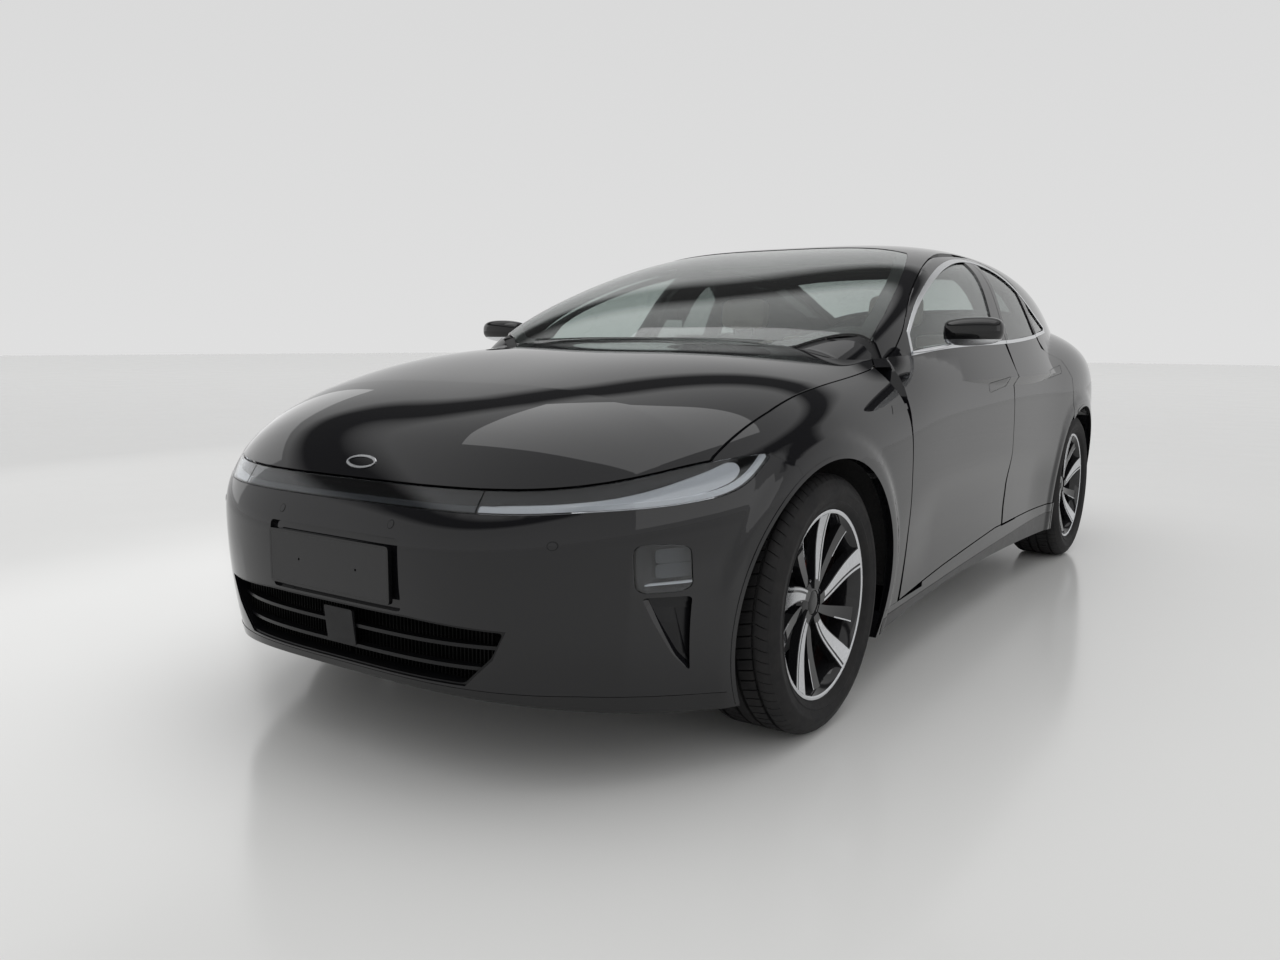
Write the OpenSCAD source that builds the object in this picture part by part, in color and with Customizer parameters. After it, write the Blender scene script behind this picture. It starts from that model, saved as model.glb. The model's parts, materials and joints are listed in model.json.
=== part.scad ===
// A four-door fastback saloon car: hollow body shell, hinged panels, steered and rolling wheels.
// The nose points along -Y, the left side of the car along +X, and the floor is z = 0.

/* [Overall] */
// From the nose to the front axle
front_overhang = 900; // [840:10:1080]
// Between the axles
wheelbase = 2915; // [2450:5:3500]
// From the rear axle to the tail
rear_overhang = 1065; // [900:5:1280]
// Over the panels, without the mirrors
body_width = 1895; // [1740:5:2100]
// Top of the roof
roof_height = 1472; // [1400:5:1650]
// Lower edge of the side windows at the middle of the car
belt_height = 1050; // [1000:5:1100]
// Top of the bonnet at the windscreen
cowl_height = 1055; // [1020:5:1090]
// Lower edge of the sills
sill_height = 190; // [160:5:220]

/* [Wheels] */
// Outside diameter of the tyres
tyre_diameter = 704; // [660:2:730]
// Width of the tyres
tyre_width = 245; // [205:5:265]
// Diameter of the rim's outer lip
rim_diameter = 528; // [450:2:540]
// From the middle of one tyre to the other across the car
track = 1610; // [1560:5:1640]
// Radius of the wheel arches
arch_radius = 396; // [385:1:420]
// Diameter of the brake discs
disc_diameter = 350; // [300:5:380]

/* [Panels] */
// Gap round everything that opens
shut_gap = 5; // [5:0.5:8]
// Thickness of a door below its window
door_depth = 110; // [90:5:120]
// Thickness of the door frames round the windows
frame_depth = 28; // [22:1:32]
// Thickness of the body sides below the windows, with sill and inner wall
side_depth = 150; // [140:5:170]
// Thickness of the pillars and roof rails
pillar_depth = 72; // [66:1:85]
// Thickness of bonnet, boot lid and wings
lid_depth = 24; // [18:1:32]
// Thickness of the roof with its lining
roof_depth = 30; // [20:1:40]
// Thickness of the bumper covers
bumper_depth = 30; // [20:1:40]
// Thickness of the glass
glass_depth = 5; // [4:0.5:6]
// How far the side glass lies below the door frames' surface
glass_set = 5; // [3:0.5:8]

/* [Cabin] */
// Diameter of the steering wheel
steering_wheel_diameter = 370; // [340:5:390]
// Width of a front seat
seat_width = 520; // [480:5:540]
// Top of the cabin floor
floor_height = 270; // [260:5:300]

/* [Mounts] */
// Distance between the screws of a number plate
plate_hole_spacing = 210; // [180:5:300]
// Radius of a number plate's screw hole
plate_hole_radius = 3.5; // [3:0.5:4]
// Radius of a jacking pad
jack_pad_radius = 35; // [28:1:45]

/* [Hidden] */
$fn = 48;
HULL_FN = 24;

length = front_overhang + wheelbase + rear_overhang;
nose = -length / 2;
tail = length / 2;
front_axle = nose + front_overhang;
rear_axle = front_axle + wheelbase;
axle_height = tyre_diameter / 2;
wheel_x = track / 2;

// Stations run from 0 at the nose over 10 and 40 at the axles to 50 at the tail.
function at(s) = s < 10 ? nose + s / 10 * front_overhang
    : s < 40 ? front_axle + (s - 10) / 30 * wheelbase
    : rear_axle + (s - 40) / 10 * rear_overhang;

// ---- fair curves: cubic splines with free ends through knots [station, value] ----

function span(k, i) = k[i + 1].x - k[i].x;
function slope(k, i) = (k[i + 1].y - k[i].y) / span(k, i);
function eliminate(k, i = 1, rows = [[0, 0]]) = i >= len(k) - 1 ? rows :
    let (m = 2 * (span(k, i - 1) + span(k, i)) - span(k, i - 1) * rows[i - 1][0])
    eliminate(k, i + 1, concat(rows, [[span(k, i) / m,
        (6 * (slope(k, i) - slope(k, i - 1)) - span(k, i - 1) * rows[i - 1][1]) / m]]));
function substitute(rows, i, m) =
    i < 0 ? m : substitute(rows, i - 1, concat([rows[i][1] - rows[i][0] * m[0]], m));
function curve(knots) = let (k = [for (p = knots) [at(p.x), p.y]], rows = eliminate(k))
    [k, substitute(rows, len(rows) - 1, [0])];
function piece(k, y, i = 0) = i >= len(k) - 2 || y < k[i + 1].x ? i : piece(k, y, i + 1);
function fair(c, y) = let (k = c[0], m = c[1],
        t = min(max(y, k[0].x), k[len(k) - 1].x), i = piece(k, t), h = span(k, i),
        a = (k[i + 1].x - t) / h, b = 1 - a)
    a * k[i].y + b * k[i + 1].y + ((pow(a, 3) - a) * m[i] + (pow(b, 3) - b) * m[i + 1]) * h * h / 6;

half = body_width / 2;
// Half width at the waist
WIDTH = curve([[0, half - 80], [10, half - 7], [20, half - 17], [29, half - 25], [35.5, half - 15],
    [40.7, half], [45.4, half - 60], [50, half - 125]]);
// Centre line of bonnet and boot lid; under the cabin it is the top that the shoulders lean towards
CROWN = curve([[0, 700], [2.7, 858], [6, 955], [10.4, cowl_height - 35], [15, cowl_height + 10],
    [17.6, belt_height + 74], [22.8, belt_height + 125], [28.9, belt_height + 155],
    [35.1, belt_height + 146], [40.7, belt_height + 130], [45.4, belt_height + 78],
    [48.7, belt_height + 20], [50, belt_height - 20]]);
// Height at which the body is widest
WAIST = curve([[0, 560], [10, 600], [25.8, 620], [40, 660], [50, 660]]);
// Lower edge all round
HEM = curve([[0, 235], [5.6, sill_height - 30], [15.6, sill_height], [34, sill_height],
    [45, sill_height + 10], [50, sill_height + 70]]);
// Fullness of the shoulders, sideways and upwards
FULL_X = curve([[0, 3], [10.4, 3.3], [17.6, 3.3], [50, 3.2]]);
FULL_Z = curve([[0, 2.6], [6, 2.8], [10.4, 3.5], [15.6, 4], [50, 4]]);

nose_sweep = front_overhang + 90;
tail_sweep = rear_overhang - 225;
nose_roll = 240;
tail_roll = 120;

function taper(d, sweep, q, p) = pow(1 - pow(min(1, max(0, 1 - d / sweep)), q), 1 / p);
function half_width(y, i) = fair(WIDTH, y) * min(taper(y - nose - i, nose_sweep, 2.2, 3.6),
    taper(tail - i - y, tail_sweep, 2.4, 4.2)) - i;
function crown(y, i) = let (w = fair(WAIST, y))
    w + (fair(CROWN, y) - w) * min(taper(y - nose - i, nose_roll, 2.2, 2.2),
        taper(tail - i - y, tail_roll, 2.2, 2.2)) - i;

// Every inner surface passes this far below the hem, so that the panels are open underneath
open_hem = 80;
UPPER_STEPS = 7;
LOWER_STEPS = 2;
// Right half of the section at y, from the hem over the waist to the centre line, i mm under the paint
function flank(y, i) = let (w = fair(WAIST, y), h = fair(HEM, y) - (i > 0 ? open_hem : 0), hw = max(2, half_width(y, i)),
        c = crown(y, i), nx = 2 / fair(FULL_X, y), nz = 2 / fair(FULL_Z, y))
    concat([for (k = [LOWER_STEPS:-1:1]) let (s = k / LOWER_STEPS)
            [hw * (1 - 0.04 * pow(s, 2.2)), y / (1 + 0.012 * s * s), w + (h - w) * s]],
        [for (k = [0:UPPER_STEPS]) let (a = 90 * k / UPPER_STEPS)
            [k == UPPER_STEPS ? 0 : hw * pow(cos(a), nx), y, w + (c - w) * pow(sin(a), nz)]]);
function ring(h) = let (m = len(h)) concat(h, [for (j = [m - 2:-1:0]) [-h[j].x, h[j].y, h[j].z]]);

// Skin through rings of equal length, each symmetric about x = 0
module loft(rings) {
    n = len(rings[0]);
    m = (n + 1) / 2;
    last = (len(rings) - 1) * n;
    polyhedron(points = [for (r = rings) each r], faces = concat(
        [for (j = [0:m - 3]) each [[j, n - 2 - j, j + 1], [j, n - 1 - j, n - 2 - j]]],
        [[m - 2, m, m - 1]],
        [for (i = [0:len(rings) - 2], j = [0:n - 1])
            let (a = i * n + j, b = i * n + (j + 1) % n) each [[a, b + n, a + n], [a, b, b + n]]],
        [for (j = [0:m - 3]) each
            [[last + j, last + j + 1, last + n - 2 - j], [last + j, last + n - 2 - j, last + n - 1 - j]]],
        [[last + m - 2, last + m - 1, last + m]]));
}

END_STEPS = [1, 8, 26, 60, 115, 200, 330, 520, 760];
MID_STEPS = 9;
function hull_stations(i) = concat([for (d = END_STEPS) nose + i + d],
    [for (k = [0:MID_STEPS]) let (a = nose + 960, b = tail - 960) a + (b - a) * k / MID_STEPS],
    [for (k = [len(END_STEPS) - 1:-1:0]) tail - i - END_STEPS[k]]);
module lower_body(i) loft([for (y = hull_stations(i)) ring(flank(y, i))]);

// ---- greenhouse: everything above the shoulders ----

base_height = belt_height - 130;
skirt = 110;
GLASS_WIDTH = curve([[12.5, half - 66], [17.6, half - 58], [22.8, half - 33], [28.9, half - 16],
    [35.1, half - 30], [40.8, half - 88], [45.4, half - 125], [48.5, half - 187]]);
GLASS_TOP = curve([[12.9, base_height], [14.5, cowl_height - 15], [19.7, cowl_height + 238],
    [23.8, roof_height - 62], [28.9, roof_height - 2], [34.1, roof_height - 10],
    [38.2, roof_height - 66], [42.1, roof_height - 172], [45.4, roof_height - 290],
    [48.5, roof_height - 410]]);
glass_front = at(12.5);
glass_rear = at(48.5);
lean = 0.42;
function glass_half(y, i) = fair(GLASS_WIDTH, y)
    * taper(y - glass_front - i, at(28) - glass_front, 4.5, 5)
    * taper(glass_rear - i - y, glass_rear - at(36.2), 2.4, 3) - i;
GLASS_STEPS = 6;
// Half of the section of the greenhouse at y: a skirt inside the shoulders, then up to the centre line
function glass_flank(y, i) = let (t = fair(GLASS_TOP, y) - i - base_height, w = glass_half(y, i))
    concat([[w - skirt / 2, y, base_height - skirt]],
        [for (k = [0:GLASS_STEPS]) let (a = 90 * k / GLASS_STEPS, s = t * pow(sin(a), 2 / 8))
            [k == GLASS_STEPS ? 0 : (w - lean * s) * pow(cos(a), 2 / 3.4), y, base_height + s]]);
GLASS_STATIONS = [13.2, 13.8, 15, 16.8, 19, 21.5, 24, 27, 30, 33, 36, 39.5, 43, 46, 48];
function glass_station(k, i) = at(GLASS_STATIONS[k]) + (k == 0 ? i : k == len(GLASS_STATIONS) - 1 ? -i : 0);
module greenhouse(i) for (k = [1:len(GLASS_STATIONS) - 1])
    hull() loft([for (j = [k - 1, k]) ring(glass_flank(glass_station(j, i), i))]);

// The whole outside of the car, sunk by low below the shoulders and by high above them
module body_solid(low, high) {
    lower_body(low);
    greenhouse(high);
}
module wall(low, high, low_in, high_in) difference() {
    body_solid(low, high);
    body_solid(low_in, high_in);
}

// ---- outlines and cutters ----

seam = 0.5;
reach = body_width;
cowl_shelf_top = belt_height - 90;
boot_bar = [645, at(44.35) + 10, belt_height - 30];

// Side view outline of [y, z] on the left side of the car, grown by d
module side_prism(outline, d = 0, from = 500) rotate([90, 0, 90]) translate([0, 0, from])
    linear_extrude(reach - from) offset(delta = d) polygon(outline);
// Plan outline of [x, y]
module plan_prism(outline, d = 0, z0 = 0, z1 = 2000) translate([0, 0, z0]) linear_extrude(z1 - z0)
    offset(delta = d) polygon(outline);
// Front view outline of [x, z]
module front_prism(outline, y0, y1, d = 0) translate([0, y1, 0]) rotate([90, 0, 0]) linear_extrude(y1 - y0)
    offset(delta = d) polygon(outline);
module both_sides() {
    children();
    mirror([1, 0, 0]) children();
}
function mirrored(points) = concat(points, [for (k = [len(points) - 1:-1:0]) [-points[k].x, points[k].y]]);
function line_of(c, y0, y1, n, d = 0) = [for (k = [0:n]) let (y = y0 + (y1 - y0) * k / n) [y, fair(c, y) + d]];
function arc(c, r, a0, a1, n) = [for (k = [0:n]) let (a = a0 + (a1 - a0) * k / n) c + r * [cos(a), sin(a)]];

module wheel_arches(r, from, ends = [front_axle, rear_axle]) both_sides() for (y = ends)
    translate([from, y, axle_height]) rotate([0, 90, 0]) cylinder(r = r, h = reach, $fn = 64);

// Lower edge of the side glass
BELT = curve([[16.9, belt_height - 54], [19.3, belt_height - 30], [28.6, belt_height + 3],
    [35, belt_height + 40], [38, belt_height + 62]]);
// Upper edge of the side glass
GLASS_LINE = curve([[18.1, belt_height - 7], [19.3, belt_height + 77], [21.2, belt_height + 168],
    [23.9, roof_height - 166], [25.9, roof_height - 122], [28.9, roof_height - 92],
    [31.7, roof_height - 132], [33.4, roof_height - 205], [35.5, roof_height - 318], [36.4, roof_height - 352]]);
frame_width = 34;
// Nothing of a door lies nearer to the middle of the car than this
door_inner = 640;

door_front = at(15.64);
door_mid = at(28.1);
door_tail = at(37.9);
door_foot = sill_height + 65;

// ---- door hinges and the turned faces that let the doors swing ----

hinge_x = half - 87;
front_hinge = [hinge_x, door_front + 102];
rear_hinge = [hinge_x - 10, door_mid + 90];
hinge_top = belt_height - 75;
front_nose = norm([102, 82]);
rear_nose = norm([90, 72]);

// Solid of revolution about a hinge; its outline of [radius, z] bounds the door's rear edge
module turned(hinge, profile, d = 0) translate([hinge.x, hinge.y, 0]) rotate_extrude($fn = 72)
    polygon(concat([[0, 0]], [for (p = [[profile[0].x, 0]]) [p.x + d, p.y]],
        [for (p = profile) [p.x + d, p.y]], [[profile[len(profile) - 1].x + d, 2000], [0, 2000]]));
front_sweep = door_mid - shut_gap - front_hinge.y;
FRONT_EDGE = [[front_sweep + 2, 560], [front_sweep + 2, 760], [front_sweep, belt_height],
    [front_sweep + 120, roof_height - 80]];
rear_sweep = door_tail - rear_hinge.y;
REAR_EDGE = [[rear_sweep + 5, 740], [rear_sweep, belt_height - 230], [rear_sweep - 15, belt_height - 155],
    [rear_sweep - 130, belt_height - 74], [rear_sweep - 405, belt_height - 20],
    [rear_sweep - 430, belt_height + 20], [rear_sweep - 425, roof_height - 80]];
module nose_disc(hinge, r, z1, z0 = 0) translate([hinge.x, hinge.y, z0]) cylinder(r = r, h = z1 - z0, $fn = 96);

// Side view of both doors together: foot line, front edge and the roof rail
rail_y0 = at(17.3);
rail_y1 = at(35.3);
function door_top(y) = fair(GLASS_LINE, y) + frame_width;
DOOR_BAND = concat([[door_tail + 60, door_foot + 62], [door_mid - 110, door_foot + 66],
        [at(20.2), door_foot + 30], [door_front, door_foot], [door_front, belt_height - 250],
        [door_front + 14, belt_height - 170], [door_front + 55, belt_height - 90],
        [door_front + 95, belt_height - 50]],
    [for (k = [0:10]) let (y = rail_y0 + (rail_y1 - rail_y0) * k / 10) [y, door_top(max(y, at(18.1)))
        - (k == 0 ? 50 : 0)]],
    [[door_tail + 60, belt_height]]);

FRONT_WINDOW = concat([[at(26.8), fair(BELT, at(26.8)) + 12], [at(18.4), fair(BELT, at(18.4)) + 12]],
    line_of(GLASS_LINE, at(18.6), at(28.3), 7));
REAR_WINDOW = concat([[at(33.4), fair(BELT, at(33.4)) + 12], [at(28.5), fair(BELT, at(28.5)) + 12]],
    line_of(GLASS_LINE, at(29.7), at(33.2), 4));
QUARTER_WINDOW = concat([[at(36.2), fair(BELT, at(36.2)) + 22], [at(34), fair(BELT, at(34)) + 12]],
    line_of(GLASS_LINE, at(33.9), at(36.3), 3));

// ---- doors ----

module door_shell(window) difference() {
    intersection() {
        wall(0, 0, door_depth, frame_depth);
        side_prism(DOOR_BAND, 0, door_inner);
    }
    side_prism(window);
    wheel_arches(arch_radius + 22, 500);
}
// What of a door lies ahead of its hinge stays within the nose disc
module ahead_of_nose(hinge, r) difference() {
    translate([0, hinge.y - 400, 0]) cube([reach, 400, hinge_top]);
    nose_disc(hinge, r, hinge_top + 1);
}
module front_door() color([0.02, 0.02, 0.025]) intersection() {
    difference() {
        door_shell(FRONT_WINDOW);
        ahead_of_nose(front_hinge, front_nose);
        nose_disc(rear_hinge, rear_nose + shut_gap, belt_height);
    }
    turned(front_hinge, FRONT_EDGE);
}
module rear_door() color([0.02, 0.02, 0.025]) intersection() {
    difference() {
        door_shell(REAR_WINDOW);
        turned(front_hinge, FRONT_EDGE, shut_gap);
        ahead_of_nose(rear_hinge, rear_nose);
        frame_step();
    }
    turned(rear_hinge, REAR_EDGE);
}
// Behind its skin the rear door's frame is lower, so that it swings clear under the sloping roof rail
module frame_step() difference() {
    intersection() {
        body_solid(10, 10);
        translate([450, door_mid - 150, belt_height + 280]) cube([reach, 700, 400]);
    }
    side_prism(DOOR_BAND, -13, 0);
}
module side_glass(window) color([0.3, 0.35, 0.33, 0.5]) intersection() {
    wall(glass_set, glass_set, glass_set + glass_depth, glass_set + glass_depth);
    side_prism(window, -0.3);
}

module door_mirror() color([0.02, 0.02, 0.025]) difference() {
    mirror_y = at(18.7);
    union() {
        hull() {
            translate([hinge_x + 68, mirror_y + 10, belt_height + 32]) sphere(r = 40, $fn = 20);
            translate([hinge_x + 70, mirror_y + 40, belt_height + 30]) sphere(r = 42, $fn = 20);
            translate([hinge_x + 210, mirror_y + 5, belt_height + 40]) sphere(r = 34, $fn = 20);
            translate([hinge_x + 215, mirror_y + 25, belt_height + 30]) sphere(r = 38, $fn = 20);
        }
        hull() {
            translate([hinge_x - 60, mirror_y - 60, belt_height - 40]) sphere(r = 14, $fn = 16);
            translate([hinge_x + 80, mirror_y + 20, belt_height - 12]) sphere(r = 16, $fn = 16);
        }
    }
    body_solid(-0.3, -0.3);
}

// ---- fixed and hinged skin panels ----

// Plan outlines of [x, y], left halves from the centre line outwards
WINDSCREEN = [[0, at(13.4)], [320, at(13.65)], [580, at(14.7)], [765, at(16.3)], [746, at(17.9)],
    [703, at(20.1)], [655, at(22)], [592, at(24.1)], [560, at(24.9)], [440, at(25.15)], [0, at(25.25)]];
BONNET = [[0, nose - 50], [810, nose - 50], [796, at(5.4)], [811, at(8.2)], [814, at(11)], [812, at(13.6)],
    [812, at(15.4)], [780, at(16)], [600, at(14.45)], [325, at(13.45)], [0, at(13.25)]];
ROOF = [[0, at(25.35)], [440, at(25.25)], [566, at(25)], [600, at(27.5)], [606, at(31)], [590, at(34)],
    [560, at(36)], [0, at(36.1)]];
REAR_SCREEN = [[0, at(36.2)], [560, at(36.1)], [585, at(39)], [600, at(42)], [592, at(44.1)], [0, at(44.2)]];
BOOT_LID = [[0, at(44.35)], [640, at(44.35)], [715, at(46.5)], [735, tail + 50], [0, tail + 50]];

// Upper and lower edges of the strip of lamps, and where bumpers and wings meet, in side view
LAMP_TOP = curve([[-1, 703], [1, 709], [1.9, 719], [3.6, 745], [4.9, 765], [6.5, 778], [7.2, 780]]);
LAMP_FOOT = curve([[-1, 661], [1, 663], [1.9, 670], [3.3, 676], [4.5, 684], [5.9, 711], [7.1, 774]]);
lamp_tip = at(7.1);
module above_lamps(d) side_prism(concat(line_of(LAMP_TOP, nose - 90, lamp_tip, 8, d),
    [[lamp_tip + 3000, 780 + d], [lamp_tip + 3000, 2000], [nose - 90, 2000]]), 0, -reach);
module lamp_strip(d) side_prism(concat(line_of(LAMP_TOP, nose - 90, lamp_tip, 8),
    [for (k = [8:-1:0]) let (y = nose - 90 + (lamp_tip - nose + 90) * k / 8) [y, fair(LAMP_FOOT, y)]]),
    d, -reach);
BUMPER_SIDE = [[nose - 50, 0], [front_axle, 0], [front_axle, axle_height], [at(8.4), 640], [at(7.9), 742],
    [lamp_tip, 780], [at(5.9), 722], [nose - 50, 690]];
tail_lamp_foot = 775;
REAR_BUMPER_SIDE = [[tail + 60, 0], [rear_axle, 0], [rear_axle, axle_height], [at(42.6), 640],
    [at(44.1), tail_lamp_foot], [tail + 60, tail_lamp_foot]];
tail_lamp_top = 845;
TAIL_LAMP_SIDE = [[tail + 60, tail_lamp_foot], [at(44.6), tail_lamp_foot], [at(44.1), tail_lamp_foot + 40],
    [at(45), tail_lamp_top], [tail + 60, tail_lamp_top]];
WING_SIDE = [[at(5), 2000], [at(5), 640], [front_axle, 300], [at(13.8), door_foot - 4],
    [door_front - shut_gap, door_foot - 4], [door_front - shut_gap, belt_height - 250],
    [door_front + 14 - shut_gap, belt_height - 170], [door_front + 50, belt_height - 90],
    [door_front + 75, belt_height - 58], [door_front + 75, 2000]];

module bonnet() color([0.02, 0.02, 0.025]) {
    intersection() {
        wall(0, 0, lid_depth, lid_depth);
        plan_prism(mirrored(BONNET), -shut_gap / 2);
        above_lamps(shut_gap);
    }
    both_sides() intersection() {
        body_solid(lid_depth / 2, lid_depth / 2);
        translate([736, bulkhead_y - 6, cowl_shelf_top + 0.3]) cube([12, 36, 200]);
    }
}
module wings() color([0.02, 0.02, 0.025]) both_sides() difference() {
    intersection() {
        lower_wall(lid_depth);
        side_prism(WING_SIDE);
    }
    plan_prism(mirrored(BONNET), shut_gap / 2);
    plan_prism(mirrored(WINDSCREEN), seam);
    side_prism(BUMPER_SIDE, seam);
    lamp_strip(seam);
    wheel_arches(arch_radius, 500);
    nose_disc(front_hinge, front_nose + shut_gap, hinge_top);
    greenhouse(-seam);
}
module lower_wall(depth) difference() {
    lower_body(0);
    lower_body(depth);
}
INTAKE = [[-500, 398], [-470, 330], [-395, 262], [395, 262], [470, 330], [500, 398], [250, 412], [-250, 412]];
LOWER_LAMP = [[728, 594], [728, 487], [802, 480], [802, 588]];
VENT = [[738, 474], [802, 468], [790, 280], [770, 330]];
plate_y = nose + 10;
plate_size = [440, 140];
plate_z = 505;
rear_plate_z = 560;

module bumper_front() color([0.02, 0.02, 0.025]) difference() {
    intersection() {
        wall(0, 0, bumper_depth, bumper_depth);
        both_sides() side_prism(BUMPER_SIDE, 0, -1);
    }
    lamp_strip(seam);
    wheel_arches(arch_radius, 500);
    front_prism(INTAKE, nose - 50, nose + 400);
    both_sides() front_prism(LOWER_LAMP, nose - 50, nose + 700);
    both_sides() front_prism(VENT, nose - 50, nose + 700);
}
module bumper_rear() color([0.02, 0.02, 0.025]) difference() {
    intersection() {
        wall(0, 0, bumper_depth, bumper_depth);
        both_sides() side_prism(REAR_BUMPER_SIDE, 0, -1);
    }
    wheel_arches(arch_radius, 500);
}
module headlamps() color([0.85, 0.88, 0.9]) {
    difference() {
        intersection() {
            wall(2, 2, 45, 45);
            lamp_strip(0);
        }
        side_prism([[lamp_tip, 0], [lamp_tip, 2000], [tail + 50, 2000], [tail + 50, 0]], 0, -reach);
    }
    both_sides() intersection() {
        wall(4, 4, 45, 45);
        front_prism(LOWER_LAMP, nose - 50, at(4.5), -seam);
    }
}
module tail_lamp() color([0.5, 0.02, 0.02]) intersection() {
    wall(0, 0, 40, 40);
    both_sides() side_prism(TAIL_LAMP_SIDE, -seam, -1);
}
module boot_lid() color([0.02, 0.02, 0.025]) {
    intersection() {
        wall(0, 0, lid_depth, lid_depth);
        plan_prism(mirrored(BOOT_LID), -shut_gap / 2, tail_lamp_top + shut_gap);
    }
    both_sides() intersection() {
        body_solid(lid_depth / 2, lid_depth / 2);
        translate([540, boot_bar.y + 4, boot_bar.z + 20.3]) cube([12, 14, 200]);
    }
}
module roof_panel() color([0.02, 0.02, 0.025]) intersection() {
    wall(0, 0, roof_depth, roof_depth);
    plan_prism(mirrored(ROOF), -seam / 2, belt_height);
}
module fixed_glass() color([0.3, 0.35, 0.33, 0.5]) {
    intersection() {
        wall(2, 2, 2 + glass_depth, 2 + glass_depth);
        union() {
            plan_prism(mirrored(WINDSCREEN), -seam / 2, belt_height - 80);
            plan_prism(mirrored(REAR_SCREEN), -seam / 2, belt_height - 80);
        }
    }
    both_sides() intersection() {
        wall(glass_set, glass_set, glass_set + glass_depth, glass_set + glass_depth);
        side_prism(QUARTER_WINDOW, -0.3);
    }
}

// Body sides in one: windscreen pillars, roof rails, sills, middle pillars and rear quarters
FRONT_APERTURE = concat([[at(27.1), door_foot + 95], [at(18.6), door_foot + 90], [at(18.4), belt_height - 60]],
    line_of(GLASS_LINE, at(19.3), at(27.8), 6, -16));
REAR_APERTURE = concat([[at(33.6), door_foot + 95], [at(29.4), door_foot + 95]],
    line_of(GLASS_LINE, at(30.2), at(33.2), 3, -16),
    [[at(33.8), belt_height + 10], [at(35.9), belt_height - 143], [at(36.2), 820]]);
module body_side() difference() {
    intersection() {
        body_solid(0, 0);
        side_prism([[door_front - 60, sill_height - 60], [front_axle, sill_height - 60], [front_axle, 300],
            [at(13.8), door_foot - 5], [door_front - shut_gap - seam, door_foot - 5],
            [door_front - shut_gap - seam, 2000], [tail + 50, 2000], [tail + 50, sill_height - 60]], 0, 0);
    }
    body_solid(side_depth, pillar_depth);
    translate([-1, nose, 0]) cube([700, length, 400]);
    translate([-1, nose, 0]) cube([763, at(16.3) - nose, belt_height - 100]);
    intersection() {
        side_prism(DOOR_BAND, shut_gap);
        union() {
            turned(rear_hinge, REAR_EDGE, shut_gap);
            translate([0, nose, 0]) cube([reach, rear_hinge.y - nose, 2000]);
        }
        difference() {
            translate([500, nose, 0]) cube([reach, length, 2000]);
            body_solid(door_depth + 6, frame_depth + 22);
        }
    }
    side_prism(FRONT_APERTURE);
    side_prism(REAR_APERTURE);
    side_prism(QUARTER_WINDOW);
    nose_disc(front_hinge, front_nose + shut_gap, hinge_top + shut_gap, door_foot - shut_gap);
    nose_disc(rear_hinge, rear_nose + shut_gap, belt_height + 110, door_foot + 62 - shut_gap);
    side_prism(WING_SIDE, seam);
    for (outline = [ROOF, REAR_SCREEN]) plan_prism(mirrored(outline), seam / 2, belt_height - 150);
    plan_prism(mirrored(WINDSCREEN), seam / 2, belt_height - 400);
    translate([500, front_axle, axle_height]) rotate([0, 90, 0])
        cylinder(r = liner_radius, h = half - 60 - 500, $fn = 64);
    plan_prism(mirrored(BONNET), shut_gap / 2, belt_height - 300);
    plan_prism(mirrored(BOOT_LID), shut_gap / 2, 400);
    side_prism(REAR_BUMPER_SIDE, seam, 0);
    side_prism(TAIL_LAMP_SIDE, seam, 0);
    wheel_arches(arch_radius, 500);
}
module body_sides() color([0.02, 0.02, 0.025]) both_sides() body_side();

// ---- structure ----

liner_radius = arch_radius + 66;
liner_inner = 470;
sheet = 8;
bulkhead_y = door_front - 45;
bay_floor = 590;

module wheel_liner(y, r, from, d) intersection() {
    difference() {
        translate([from, y, axle_height]) rotate([0, 90, 0]) cylinder(r = r + sheet, h = half - from, $fn = 48);
        translate([from + sheet, y, axle_height]) rotate([0, 90, 0]) cylinder(r = r, h = half, $fn = 48);
    }
    translate([0, y - 600, axle_height - 40]) cube([reach, 1200, 600]);
    body_solid(d, d);
}
module front_structure() color([0.12, 0.12, 0.13]) {
    difference() {
        union() {
            both_sides() wheel_liner(front_axle, liner_radius, liner_inner, lid_depth + 14);
            intersection() {
                union() {
                    translate([-712, bulkhead_y - sheet, floor_height - 15]) cube([1424, sheet, 700]);
                    translate([-752, bulkhead_y - sheet, cowl_shelf_top - 20]) cube([1504, 80, 20]);
                    both_sides() translate([704, bulkhead_y - sheet, floor_height + seam])
                        cube([sheet, at(18.2) - bulkhead_y, 634]);
                }
                body_solid(lid_depth + 20, pillar_depth + 6);
            }
            translate([-liner_inner - 1, at(3), bay_floor]) cube([2 * liner_inner + 2, bulkhead_y - at(3), sheet]);
            both_sides() translate([395, at(2.6), 400]) cube([70, bulkhead_y - at(2.6), 110]);
            translate([-420, at(2.2), 420]) cube([840, 45, 90]);
        }
        both_sides() translate([0, front_axle, axle_height]) rotate([0, 90, 0])
            translate([0, 0, liner_inner + sheet]) cylinder(r = liner_radius, h = half, $fn = 48);
        nose_disc(front_hinge, front_nose + shut_gap, hinge_top + shut_gap);
    }
}
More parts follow.
